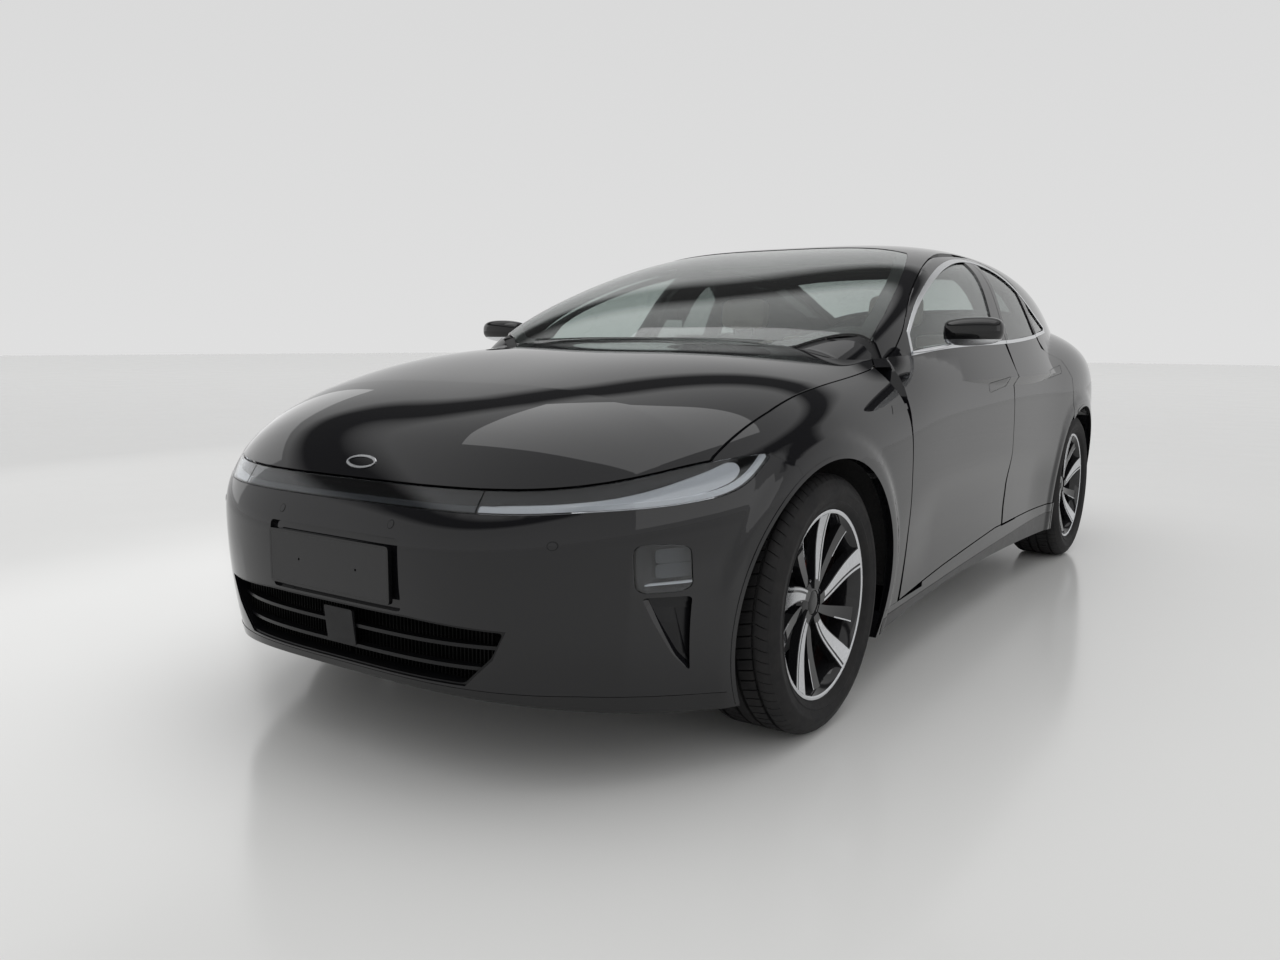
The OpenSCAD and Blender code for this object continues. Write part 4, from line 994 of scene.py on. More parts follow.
class MakeDoors(bpy.types.Operator):
    """Builds the doors with their handles, trim, mirrors and linings"""
    bl_idname = "saloon.doors"
    bl_label = "Doors"

    def execute(self, context):
        gap, width = context.scene.saloon_panels.gap, context.scene.saloon_glass.trim
        shell = wall(0, 0, DOOR_DEPTH, FRAME_DEPTH)
        band = side(DOOR_BAND, 0, 0.64)
        tools = door_tools(gap)
        outer = wall(-0.0012, -0.0012, 0.006, 0.006)
        thin = wall(-0.0002, -0.0002, 0.003, 0.003)
        rim = carved("rim", outer, [side(grown(DAYLIGHT, width))], [side(DAYLIGHT)])
        for which, window in (("front", FRONT_WINDOW), ("rear", REAR_WINDOW)):
            keep, cut = tools[which]
            groove = carved("groove", thin, [side(handle_outline(which, 0.0022))])
            door = carved(f"door_{which}", shell, [band] + keep,
                          [side(window)] + arches(ARCH_R + 0.022) + cut + [groove])
            both_doors(f"door_{which}_skin", door, which, "paint", mat("paint"), [f"door_{which}"])
            lever = carved("lever", wall(0.0002, 0.0002, 0.0029, 0.0029), [side(handle_outline(which))])
            both_doors(f"door_{which}_handle", lever, which, "paint", mat("paint"), soften=0.0006)
            strip = carved("strip", rim, keep, cut)
            both_doors(f"door_{which}_trim", strip, which, "bright_trim", mat("bright"))
            post = carved("post", wall(-0.0004, -0.0004, 0.002, 0.002), [side(DAYLIGHT)] + keep,
                          [side(window, -0.0001)] + cut)
            both_doors(f"door_{which}_post", post, which, "gloss_black", mat("gloss"))
            low = prism("low", [(-3, 0.30), (3, 0.30), (3, 0.93), (-3, 0.93)], 0.5, 2, "side")
            lining = carved("lining", wall(0.1102, 0.1102, 0.114, 0.114),
                            [side(DOOR_BAND, -0.05, 0.6), low] + keep,
                            cut + arches(ARCH_R + 0.03))
            both_doors(f"door_{which}_lining", lining, which, "dash", mat("dash"))
        strip = carved("rim_fixed", rim, cut=[turned(FRONT_HINGE, FRONT_EDGE, gap),
                                              turned(REAR_HINGE, REAR_EDGE, gap)])
        both = joined("quarter_trim", [mirror_copy(strip, "q"), strip])
        finished(both, "root", "bright_trim", mat("bright"))
        self.mirrors()
        return {"FINISHED"}

    def mirrors(self):
        y, z = y_at(18.7), BELT_Z
        x0 = HINGE_X + 0.056
        rows = []
        for t, h, d, lean in ((0, 0.034, 0.040, 0.012), (0.05, 0.040, 0.052, 0.010),
                              (0.3, 0.047, 0.060, 0.004),
                              (0.65, 0.046, 0.056, 0.0), (0.88, 0.040, 0.046, -0.002),
                              (0.97, 0.028, 0.032, -0.004),
                              (1, 0.012, 0.014, -0.004)):
            x = x0 + 0.189 * t
            c = (y + 0.022 + lean, z + 0.036 + 0.006 * t)
            rows.append([(x, c[0] + (d if math.cos(a) < 0 else d * 0.62) * np.sign(math.cos(a))
                          * abs(math.cos(a)) ** 0.8,
                          c[1] + h * np.sign(math.sin(a)) * abs(math.sin(a)) ** 0.75)
                         for a in np.linspace(0, 2 * math.pi, 32, endpoint=False)])
        head = capped_loft("mirror_head", rows)
        smooth_more(head, 2)
        cut = box("cut", (0.5, -3, 0), (2, 3, z + 0.013))
        band_cut = box("cut", (0.5, -3, z + 0.0135), (2, 3, 2))
        cap = carved("mirror_cap", head, cut=[cut])
        foot = carved("mirror_foot", head, cut=[band_cut])
        glass_at = y + 0.022 + 0.0355
        front_half = box("g", (0.5, -3, 0), (2, glass_at, 2))
        cap = carved("cap", cap, keep=[front_half])
        foot = carved("foot", foot, keep=[front_half])
        for o, name, slot, m in ((cap, "mirror_cap", "gloss_black", "gloss"),
                                 (foot, "mirror_base", "bright_trim", "bright")):
            both_doors(name, o, "front", slot, mat(m), ["mirror"] if name == "mirror_cap" else ())
        outline = rounded([(x0 + 0.012, z + 0.004), (x0 + 0.176, z + 0.006), (x0 + 0.172, z + 0.070),
                           (x0 + 0.012, z + 0.066)], 0.022)
        pane = prism("mirror_pane", outline, glass_at - 0.004, glass_at + 0.0006, "front")
        both_doors("mirror_pane", pane, "front", "glass", mat("reflector"))
        arm = sweep_bar("mirror_arm", [(HINGE_X - 0.03, y - 0.035, z - 0.030),
                                       (HINGE_X + 0.02, y - 0.014, z - 0.022),
                                       (HINGE_X + 0.075, y + 0.012, z - 0.008),
                                       (HINGE_X + 0.10, y + 0.020, z + 0.006)],
                        0.020, 0.008)
        both_doors("mirror_arm", arm, "front", "bright_trim", mat("bright"))
        gone(head)


def capped_loft(name, rows):
    """Closed skin through rows of points, each end shut with a fan."""
    n, verts, faces = len(rows[0]), [p for r in rows for p in r], []
    for i in range(len(rows) - 1):
        faces += [(i * n + j, i * n + (j + 1) % n, (i + 1) * n + (j + 1) % n,
                   (i + 1) * n + j) for j in range(n)]
    for row in (0, len(rows) - 1):
        verts.append(tuple(np.mean(rows[row], 0)))
        faces += [(row * n + j, row * n + (j + 1) % n, len(verts) - 1) for j in range(n)]
    return outward(mesh_object(name, verts, faces))


def smooth_more(o, levels):
    m = o.modifiers.new("round", "SUBSURF")
    m.levels = m.render_levels = levels
    return flattened(o)


def sweep_bar(name, path, wide, thick, up=(0, 0, 1), n=16):
    """Bar with a rounded flat section along a smooth path."""
    pts = np.array(spline_outline(path, 8, closed=False)) if len(path) > 2 else np.array(path, float)
    rows = []
    for k, p in enumerate(pts):
        t = pts[min(k + 1, len(pts) - 1)] - pts[max(k - 1, 0)]
        t = t / np.linalg.norm(t)
        b = np.cross(t, up)
        b = b / np.linalg.norm(b)
        u = np.cross(b, t)
        rows.append([tuple(p + b * wide / 2 * np.sign(math.cos(a)) * abs(math.cos(a)) ** 0.6
                           + u * thick / 2 * np.sign(math.sin(a)) * abs(math.sin(a)) ** 0.6)
                     for a in np.linspace(0, 2 * math.pi, n, endpoint=False)])
    return capped_loft(name, rows)


class MakeGlass(bpy.types.Operator):
    """Builds the windscreen, rear screen and side windows with their printed borders"""
    bl_idname = "saloon.glass"
    bl_label = "Glass"

    def execute(self, context):
        d = context.scene.saloon_glass.depth
        sunk = wall(0.002, 0.002, 0.002 + d, 0.002 + d)
        deep = wall(0.005, 0.005, 0.005 + d, 0.005 + d)
        under = wall(0.0025 + d, 0.0025 + d, 0.005 + d, 0.005 + d)
        screens, borders = [], []
        for outline, rim in ((WINDSCREEN, 0.042), (REAR_SCREEN, 0.05)):
            screens.append(carved("screen", sunk, [plan(outline, -0.00025, BELT_Z - 0.08)]))
            borders.append(carved("border", under, [plan(outline, -0.0005, BELT_Z - 0.08)],
                                  [plan(outline, -rim, BELT_Z - 0.2)]))
        quarter = carved("quarter", deep, [side(QUARTER_WINDOW, -0.0003)])
        finished(joined("screens", screens), "root", "glass", mat("glass"), ["fixed_glass"])
        finished(joined("screen_borders", borders), "root", "gloss_black", mat("satin_black"))
        finished(joined("quarter_windows", [mirror_copy(quarter, "q"), quarter]), "root", "glass",
                 mat("privacy"))
        for which, window, look in (("front", FRONT_WINDOW, "glass"), ("rear", REAR_WINDOW, "privacy")):
            keep, cut = door_tools(0)[which]
            pane = carved("pane", deep, [side(window, -0.0003)] + keep, cut)
            both_doors(f"window_{which}", pane, which, "glass", mat(look), [f"glass_{which}"])
        return {"FINISHED"}


class MakeLamps(bpy.types.Operator):
    """Builds the strip of lamps across the nose, the lower lamps and the tail lamp"""
    bl_idname = "saloon.lamps"
    bl_label = "Lamps"

    def execute(self, context):
        ahead = box("ahead", (-2, -4, 0), (2, LAMP_TIP, 2))
        cuts = [box("split", (s * x - 0.0012, -4, 0), (s * x + 0.0012, 0, 2)) for x,
                s in ((0.42, 1), (0.42, -1))]
        cover = carved("cover", wall(0.001, 0.001, 0.0045, 0.0045), [lamp_strip(-0.0006), ahead], cuts)
        finished(cover, "root", "lamp", mat("lens"), ["headlamps"])
        bed = carved("bed", wall(0.018, 0.018, 0.040, 0.040), [lamp_strip(-0.001), ahead])
        finished(named(bed, "lamp_bed"), "root", "gloss_black", mat("gloss"))
        line = carved("line", wall(0.007, 0.007, 0.013, 0.013), [lamp_strip(-0.001), ahead],
                      [lamp_strip(0, -0.05, 0.012, 7.3), box("b", (-0.422, -4, 0), (0.422, 4, 2))])
        finished(named(line, "lamp_guide"), "root", "lamp", mat("guide"))
        middle_line = carved("middle_line", wall(0.007, 0.007, 0.013, 0.013),
                             [lamp_strip(-0.001), ahead],
                             [lamp_strip(0, -0.05, 0.012, 7.3), box("b", (0.418, -4, 0), (3, 4, 2)),
                              box("b", (-3, -4, 0), (-0.418, 4, 2))])
        finished(named(middle_line, "lamp_middle_guide"), "root", "lamp", mat("grey_guide"))
        sweep = carved("sweep", wall(0.009, 0.009, 0.014, 0.014),
                       [side(self.sweep_outline(), 0, 0.2), lamp_strip(-0.004)])
        both = joined("lamp_sweep", [mirror_copy(sweep, "s"), sweep])
        finished(both, "root", "lamp", mat("guide"))
        self.lower()
        self.tail()
        return {"FINISHED"}

    def sweep_outline(self):
        """Wide bright sweep at the outer end of the strip."""
        top = [(y_at(s), float(LAMP_FOOT(at(s))) + d) for s, d in
               ((1.2, 0.013), (2.0, 0.016), (2.8, 0.022), (3.6, 0.033), (4.4, 0.045), (5.2, 0.054),
                (5.9, 0.052))]
        foot = [(y_at(s), float(LAMP_FOOT(at(s))) + d) for s, d in
                ((6.05, 0.030), (5.7, 0.018), (4.9, 0.014), (4.0, 0.010), (3.0, 0.006), (2.0, 0.005),
                 (1.2, 0.005))]
        return spline_outline(top + foot, 6)

    def lower(self):
        pieces = {"cover": [], "bed": [], "reflector": [], "line": []}
        outline = rounded(LOWER_LAMP, 0.024)
        x0, x1, z0, z1 = 0.728, 0.804, 0.483, 0.590
        cover = carved("cover", wall(0.001, 0.001, 0.004, 0.004),
                       [prism("p", grown(outline, -0.0006), NOSE - 0.05, y_at(4.5), "front")])
        pieces["cover"] += [cover, mirror_copy(cover, "c")]
        shaft = prism("p", grown(outline, 0.004), NOSE - 0.05, y_at(4.5), "front")
        bed = carved("bed", wall(0.006, 0.006, 0.060, 0.060), [shaft],
                     [carved("w", wall(0.0055, 0.0055, 0.050, 0.050),
                             [prism("p", rounded(grown(LOWER_LAMP, -0.007), 0.013), -3, y_at(4.5),
                                    "front")])])
        pieces["bed"] += [bed, mirror_copy(bed, "b")]
        for zc in (z1 - 0.030, z0 + 0.042):
            cell = rounded([(x0 + 0.012, zc - 0.017), (x1 - 0.010, zc - 0.017), (x1 - 0.010, zc + 0.017),
                            (x0 + 0.012, zc + 0.017)], 0.008)
            bowl = carved("bowl", wall(0.022, 0.022, 0.051, 0.051),
                          [prism("p", cell, -3, y_at(4.5), "front")])
            pieces["reflector"] += [bowl, mirror_copy(bowl, "r")]
        rise = z0 + 0.004
        bar = carved("bar", wall(0.008, 0.008, 0.018, 0.018),
                     [prism("p", [(x0 + 0.008, rise + 0.010), (x1 - 0.006, rise + 0.009),
                                  (x1 - 0.006, rise + 0.012), (x0 + 0.008, rise + 0.013)], -3,
                            y_at(4.5), "front")])
        pieces["line"] += [bar, mirror_copy(bar, "l")]
        for key, slot, look in (("cover", "lamp", "lens"), ("bed", "gloss_black", "gloss"),
                                ("reflector", "lamp", "grey_guide"), ("line", "lamp", "guide")):
            finished(joined(f"lower_lamp_{key}", pieces[key]), "root", slot, mat(look))

    def tail(self):
        strip = across(grown(TAIL_LAMP_SIDE, -0.0005))
        shell = carved("tail_cover", wall(0.0, 0.0, 0.004, 0.004), [strip])
        finished(shell, "root", "rear_lamp", mat("red_lens"), ["tail_lamp"])
        bed = carved("tail_bed", wall(0.016, 0.016, 0.036, 0.036),
                     [across(grown(TAIL_LAMP_SIDE, -0.001))])
        finished(bed, "root", "gloss_black", mat("gloss"))
        line = [(ROUND_BACK, 0.806), (y_at(44.9), 0.806), (y_at(44.9), 0.818), (ROUND_BACK, 0.818)]
        guide = carved("tail_guide", wall(0.007, 0.007, 0.013, 0.013), [across(line)])
        finished(guide, "root", "rear_lamp", mat("grey_guide"))


def named(o, name):
    o.name = name
    return o


class MakeWheels(bpy.types.Operator):
    """Builds the tyres, alloy wheels and brake discs"""
    bl_idname = "saloon.wheels"
    bl_label = "Wheels"

    def execute(self, context):
        s = context.scene.saloon_wheels
        parts = self.tyre(s.sipes) + self.rim(s.groups)
        for where, y in (("front", FRONT_AXLE), ("rear", REAR_AXLE)):
            for hand, x in (("left", 1), ("right", -1)):
                for part, slot, look, cad in parts:
                    o = copy_of(part)
                    if x < 0:
                        o.data.transform(Matrix.Scale(-1, 4, (1, 0, 0)))
                        o.data.flip_normals()
                    o.data.transform(Matrix.Translation((x * WHEEL_X, y, AXLE_Z)))
                    o.name = f"{part.name}_{where}_{hand}".replace("part_", "")
                    finished(o, f"wheel_{where}_{hand}", slot, mat(look),
                             [f"{c}_{where}_{hand}" for c in cad])
        gone(*[p[0] for p in parts])
        return {"FINISHED"}

    def tyre(self, sipes):
        """Tyre about the middle of the wheel, outer side along +x."""
        w, r = TYRE_W / 2, TYRE_R
        half = [(RIM_R - 0.006, w - 0.022), (RIM_R + 0.004, w - 0.010), (RIM_R + 0.010, w - 0.006),
                (RIM_R + 0.014, w - 0.0045), (RIM_R + 0.018, w - 0.0062), (RIM_R + 0.030, w - 0.0028),
                (RIM_R + 0.036, w - 0.0015), (RIM_R + 0.038, w - 0.0004), (RIM_R + 0.045, w - 0.0004),
                (RIM_R + 0.047, w - 0.0016), (RIM_R + 0.056, w - 0.0038), (r - 0.026, w - 0.0085),
                (r - 0.016, w - 0.0135), (r - 0.012, w - 0.0185), (r - 0.0085, w - 0.030)]
        flat = [(r - 0.0085, x) for x in (0.05, 0, -0.05)]
        profile = [(q, x) for q, x in half] + flat + [(q, -x) for q, x in half[::-1]]
        carcass = revolve("part_tyre", profile, (0, 0, 0), 144)
        blocks = []
        step = 2 * math.pi / sipes
        ribs = [(-w + 0.0145, -w + 0.046, 0.92, 0.22), (-w + 0.056, -0.024, 0.86, -0.16),
                (-0.014, 0.014, 0.99, 0.0),
                (0.024, w - 0.056, 0.86, 0.16), (w - 0.046, w - 0.0145, 0.92, -0.22)]
        for x0, x1, fill, skew in ribs:
            verts, n, m = [], 4, 4
            for a in range(n + 1):
                for b in range(m + 1):
                    x = x0 + (x1 - x0) * b / m
                    edge = max(0, abs(x) - (w - 0.043)) / 0.029
                    top = r - 0.0002 - 0.0145 * edge ** 2
                    t = step * (fill * (a / n - 0.5) + skew * (b / m - 0.5) * 2)
                    for q in (top, r - 0.020 - 0.002 * edge):
                        verts.append((x, q * math.sin(t), q * math.cos(t)))
            faces = []
            for a in range(n):
                for b in range(m):
                    k = (a * (m + 1) + b) * 2
                    e = k + (m + 1) * 2
                    faces += [(k, k + 2, e + 2, e), (k + 1, e + 1, e + 3, k + 3)]
            for a in range(n):
                for b in (0, m):
                    k = (a * (m + 1) + b) * 2
                    e = k + (m + 1) * 2
                    faces.append((k, e, e + 1, k + 1))
            for b in range(m):
                for a in (0, n):
                    k = (a * (m + 1) + b) * 2
                    faces.append((k, k + 2, k + 3, k + 1))
            blocks.append(outward(mesh_object("block", verts, faces)))
        block = joined("blocks", blocks)
        tread = repeated("part_tread", block, sipes, (0, 0, 0), (step, 0, 0), (0, 0, 0), mat("rubber"))
        gone(block)
        return [(carcass, "tyre", "rubber", ["tyre"]), (tread, "tyre", "rubber", [])]

    def rim(self, groups):
        w = TYRE_W / 2
        barrel = [(RIM_R - 0.0065, -w + 0.022), (RIM_R - 0.024, -w + 0.022), (RIM_R - 0.036, -0.060),
                  (RIM_R - 0.038, w - 0.060), (RIM_R - 0.028, w - 0.034), (RIM_R - 0.016, w - 0.0215),
                  (RIM_R - 0.0085, w - 0.0205), (RIM_R - 0.0065, w - 0.0225),
                  (RIM_R - 0.0065, w - 0.040),
                  (RIM_R - 0.030, w - 0.055), (RIM_R - 0.030, -0.055), (RIM_R - 0.0065, -w + 0.035)]
        shell = revolve("part_barrel", barrel, (0, 0, 0), 144)
        lip = [(RIM_R - 0.0172, w - 0.0210), (RIM_R - 0.0120, w - 0.0188), (RIM_R - 0.0070, w - 0.0192),
               (RIM_R - 0.0062, w - 0.0215), (RIM_R - 0.0150, w - 0.0235)]
        edge = revolve("part_lip", lip, (0, 0, 0), 144)
        hub = revolve("part_hub", [(0, -0.115), (0.075, -0.115), (0.075, 0.015), (0.062, 0.048),
                                   (0.056, 0.062),
                                   (0.040, 0.067), (0.034, 0.0672), (0.033, 0.064), (0, 0.064)],
                      (0, 0, 0), 72)
        cap = revolve("part_cap", [(0, 0.0635), (0.0325, 0.0635), (0.0325, 0.0670), (0.029, 0.0695),
                                   (0.015, 0.0705), (0, 0.0708)], (0, 0, 0), 48)
        body, faces = [], []
        for side_sign in (1, -1):
            b, f = self.blade(side_sign)
            body.append(b)
            faces.append(f)
        turn = (2 * math.pi / groups, 0, 0)
        pair, tops = joined("pair", body), joined("tops", faces)
        blades = repeated("part_blades", pair, groups, (0, 0, 0), turn, (0, 0, 0), mat("dark_alloy"))
        shown = repeated("part_blade_faces", tops, groups, (0, 0, 0), turn, (0, 0, 0), mat("machined"))
        nut = revolve("nut", [(0, 0.050), (0.0085, 0.050), (0.0085, 0.0595), (0.007, 0.061), (0, 0.061)],
                      (0, 0, 0.0555), 6)
        nuts = repeated("part_nuts", nut, 5, (0, 0, 0), (2 * math.pi / 5, 0, 0), (0, 0, 0), mat("steel"))
        disc_at = -0.062
        disc = [(0.09, disc_at + 0.030), (0.092, disc_at), (0.175, disc_at), (0.175, disc_at + 0.011),
                (0.168, disc_at + 0.011), (0.168, disc_at + 0.019), (0.175, disc_at + 0.019),
                (0.175, disc_at + 0.030)]
        rotor = revolve("part_disc", disc, (0, 0, 0), 96)
        bell = revolve("part_bell", [(0, disc_at + 0.028), (0.092, disc_at + 0.028),
                                     (0.090, disc_at + 0.046),
                                     (0.070, disc_at + 0.048), (0, disc_at + 0.048)], (0, 0, 0), 64)
        stub = revolve("part_stub", [(0, disc_at - 0.075), (0.024, disc_at - 0.075),
                                     (0.024, disc_at + 0.001),
                                     (0, disc_at + 0.001)], (0, 0, 0), 32)
        gone(pair, tops, nut)
        return [(shell, "wheel_rim", "dark_alloy", ["rim"]), (edge, "wheel_rim", "machined", []),
                (hub, "wheel_rim", "dark_alloy", []), (cap, "wheel_rim", "gloss", []),
                (blades, "wheel_rim", "dark_alloy", []), (shown, "wheel_rim", "machined", []),
                (nuts, "steel", "steel", []), (rotor, "steel", "steel", []), (bell, "steel", "cast", []),
                (stub, "steel", "steel", [])]

    def swept(self, name, low, high, top, deep, t0=0.0, t1=1.0, n=18):
        """Blade between two polar edges; low, high and top give angle, angle and depth along the radius."""
        rows = []
        for t in np.linspace(t0, t1, n):
            r = 0.040 + (RIM_R - 0.0165 - 0.040) * t
            a, b, x = low(t, r), high(t, r), top(t)
            rows.append([(x, r * math.sin(a), r * math.cos(a)), (x, r * math.sin(b), r * math.cos(b)),
                         (x - deep, r * math.sin(b), r * math.cos(b)),
                         (x - deep, r * math.sin(a), r * math.cos(a))])
        return capped_loft(name, rows)

    def blade(self, kind):
        """One wide blade with its bright faces, or the narrow dark blade between two of them."""
        w = TYRE_W / 2

        def top(t):
            return w - 0.050 + 0.030 * t ** 2.2 - 0.0015

        if kind > 0:
            def low(t, r):
                return 0.30 * (1 - t) ** 2 - (0.012 + 0.034 * t ** 1.1) / r

            def high(t, r):
                return 0.30 * (1 - t) ** 2 + (0.012 + 0.006 * t) / r

            body = self.swept("blade", lambda t, r: low(t, r) - 0.002 / r, lambda t,
                              r: high(t, r) + 0.002 / r,
                              top, 0.026)
            wide = self.swept("face", lambda t, r: low(t, r) + 0.001 / r,
                              lambda t, r: high(t, r) - (0.0125 + 0.002 * t) / r,
                              lambda t: top(t) + 0.0009, 0.002,
                              0.12)
            thin = self.swept("face", lambda t, r: high(t, r) - (0.0065 + 0.001 * t) / r,
                              lambda t, r: high(t, r) - 0.0005 / r, lambda t: top(t) + 0.0009, 0.002,
                              0.10)
            return body, joined("face", [wide, thin])

        def dark_low(t, r):
            return 0.66 + 0.16 * (1 - t) ** 2 - (0.010 + 0.014 * t) / r

        def dark_high(t, r):
            return 0.66 + 0.16 * (1 - t) ** 2 + (0.010 + 0.010 * t) / r

        body = self.swept("blade", dark_low, dark_high, lambda t: top(t) - 0.010, 0.024)
        line = self.swept("face", lambda t, r: dark_high(t, r) - 0.003 / r, lambda t,
                          r: dark_high(t, r) + 0.0005 / r,
                          lambda t: top(t) - 0.0092, 0.002, 0.55)
        return body, line


class MakeFace(bpy.types.Operator):
    """Builds the air intake, vents, plates, sensors, badge place, lower trims and cowl"""
    bl_idname = "saloon.face"
    bl_label = "Nose and tail trim"

    def execute(self, context):
        self.intake()
        self.plates()
        self.small()
        self.lower_trim()
        self.cowl()
        return {"FINISHED"}

    def intake(self):
        opening = prism("p", grown(INTAKE, -0.001), -3, y_at(4), "front")
        sleeve = carved("sleeve", wall(0.004, 0.004, 0.075, 0.075), [opening],
                        [prism("p", rounded(grown(INTAKE, -0.006), 0.012), -3, y_at(5), "front")])
        finished(named(sleeve, "intake_sleeve"), "root", "black_plastic", mat("satin_black"))
        bars = []
        for k, z in enumerate((0.300, 0.352)):
            bar = carved("bar", wall(0.020 + 0.002 * k, 0.020, 0.044, 0.044),
                         [prism("p", [(-0.6, z - 0.0045), (0.6, z - 0.0045), (0.6, z + 0.0045),
                                      (-0.6, z + 0.0045)],
                                -3, y_at(4), "front"), opening])
            bars.append(bar)
        finished(joined("intake_bars", bars), "root", "black_plastic", mat("satin_black"))
        slat = prism("slat", [(-0.0018, 0.264), (0.0018, 0.264), (0.0018, 0.396), (-0.0018, 0.396)],
                     -0.004, 0.004,
                     "front")
        slats = []
        for s in (1, -1):
            row = repeated("row", slat, 38, (s * 0.012, NOSE + 0.066, 0), (0, 0, 0),
                           (s * 0.0118, 0.00075, 0), mat("mesh"))
            slats.append(row)
        gone(slat)
        mesh = joined("slats", slats)
        mesh = named(mesh, "intake_mesh")
        finished(mesh, "root", "black_plastic", mat("mesh"))
        back = carved("backing", wall(0.070, 0.070, 0.074, 0.074), [opening])
        finished(named(back, "intake_backing"), "root", "black_plastic", mat("mesh"))
        radar = carved("radar", wall(0.010, 0.010, 0.020, 0.020),
                       [prism("p", rounded([(-0.052, 0.300), (0.052, 0.300), (0.052, 0.392),
                                            (-0.052, 0.392)],
                                           0.006), -3, -2, "front")])
        finished(named(radar, "radar_panel"), "root", "black_plastic", mat("plastic"))
        hole, back_of_vent = rounded(VENT, 0.010), y_at(4.6)
        bed = carved("vent", wall(0.012, 0.012, 0.05, 0.05),
                     [prism("p", grown(hole, 0.002), -3, back_of_vent, "front")])
        slot_hole = prism("p", mm([(772, 440), (794, 436), (788, 300), (782, 318)]), -3, back_of_vent,
                          "front")
        panel = carved("panel", wall(0.009, 0.009, 0.0125, 0.0125),
                       [prism("p", grown(hole, -0.0005), -3, back_of_vent, "front")], [slot_hole])
        one = joined("vent", [bed, panel])
        vents = [mirror_copy(one, "v"), one]
        finished(joined("corner_vents", vents), "root", "black_plastic", mat("satin_black"))

    def plates(self):
        plates, frames = [], []
        for node_y, z, s in ((NOSE - 0.0053, 0.505, -1), (TAIL + 0.0042, 0.560, 1)):
            outline = rounded([(-0.2195, z - 0.0695), (0.2195, z - 0.0695), (0.2195, z + 0.0695),
                               (-0.2195, z + 0.0695)], 0.010)
            y0, y1 = sorted((node_y + s * 0.0058, node_y - s * 0.001))
            holes = [revolve("h", [(0, -4), (0.0035, -4), (0.0035, 4), (0, 4)], (x, 0, z), 24, "Y")
                     for x in (-0.105, 0.105)]
            plates.append(carved("plate", prism("p", grown(outline, -0.006), y0, y1, "front"),
                                 cut=holes))
            frame_y = sorted((node_y + s * 0.006, node_y - s * 0.006))
            frames.append(carved("frame", prism("p", outline, *frame_y, "front"),
                                 cut=[prism("p", grown(outline, -0.0065), -4, node_y - 0.001,
                                            "front") if s < 0
                                      else prism("p", grown(outline, -0.0065), node_y + 0.001, 4,
                                                 "front")] + holes))
        finished(joined("plate_blanks", plates), "root", "plate", mat("plate"), ["number_plates"],
                 angle=12)
        finished(joined("plate_frames", frames), "root", "plate", mat("gloss"), angle=12)

    def small(self):
        rings, eyes = [], []
        for x, z in ((0.20, 0.622), (-0.20, 0.622), (0.60, 0.600), (-0.60, 0.600)):
            for radius, start, end, store in ((0.0105, -0.0003, 0.004, rings),
                                              (0.0085, -0.0007, 0.004, eyes)):
                outline = [(x + radius * math.cos(a), z + radius * math.sin(a))
                           for a in np.linspace(0, 2 * math.pi, 32, endpoint=False)]
                store.append(carved("eye", wall(start, start, end, end),
                                    [prism("p", outline, -3, -1.5, "front")]))
        finished(joined("sensor_rings", rings), "root", "gloss_black", mat("satin_black"))
        finished(joined("sensor_faces", eyes), "root", "gloss_black", mat("paint"))
        outer = [(0.052 * math.cos(a),
                  0.748 + 0.015 * math.sin(a)) for a in np.linspace(0, 2 * math.pi, 48,
                                                                                     endpoint=False)]
        inner = grown(outer, -0.0045)
        badge = carved("badge", wall(-0.0022, -0.0022, 0.002, 0.002),
                       [prism("p", outer, -3, -2, "front")],
                       [prism("p", inner, -3, -2, "front")])
        finished(named(badge, "badge_ring"), "bonnet", "bright_trim", mat("bright"))
        blade = side([(DOOR_FRONT - 0.135, 0.842), (DOOR_FRONT - 0.012, 0.852),
                      (DOOR_FRONT - 0.012, 0.868),
                      (DOOR_FRONT - 0.120, 0.866)])
        fins = carved("blade", wall(-0.0012, -0.0012, 0.002, 0.002), [blade])
        finished(joined("wing_blades", [mirror_copy(fins, "f"), fins]), "root", "gloss_black",
                 mat("gloss"))

    def lower_trim(self):
        lip_zone = [(NOSE - 0.05, 0.10), (y_at(6.0), 0.10), (y_at(5.6), 0.205), (y_at(2), 0.243),
                    (NOSE - 0.05, 0.256)]
        lip = carved("lip", wall(-0.0012, -0.0012, 0.012, 0.012), [across(lip_zone)], arches(ARCH_R))
        finished(named(lip, "nose_lip"), "root", "black_plastic", mat("gloss"))
        zone = [(y_at(14), 0.0), (y_at(14), DOOR_FOOT - 0.030), (y_at(20), DOOR_FOOT - 0.022),
                (y_at(35.8), DOOR_FOOT + 0.020), (y_at(35.8), 0.0)]
        sill = carved("sill", wall(-0.0012, -0.0012, 0.006, 0.006), [side(zone)], arches(ARCH_R + 0.004))
        finished(joined("sill_covers", [mirror_copy(sill, "s"), sill]), "root", "black_plastic",
                 mat("satin_black"))
        zone = [(ROUND_BACK, 0.10), (y_at(44.6), 0.10), (y_at(44.6), 0.30), (ROUND_BACK, 0.40)]
        tail = carved("diffuser", wall(-0.0012, -0.0012, 0.008, 0.008), [across(zone)], arches(ARCH_R))
        finished(named(tail, "tail_valance"), "root", "black_plastic", mat("satin_black"))
        lines = []
        for axle in (FRONT_AXLE, REAR_AXLE):
            ring_hole = revolve("r", [(ARCH_R - 0.001, 0.5), (ARCH_R + 0.011, 0.5),
                                      (ARCH_R + 0.011, 1.2),
                                      (ARCH_R - 0.001, 1.2)], (0, axle, AXLE_Z), 128)
            low = box("low", (0, -3, HEM_LOW), (2, 3, 2))
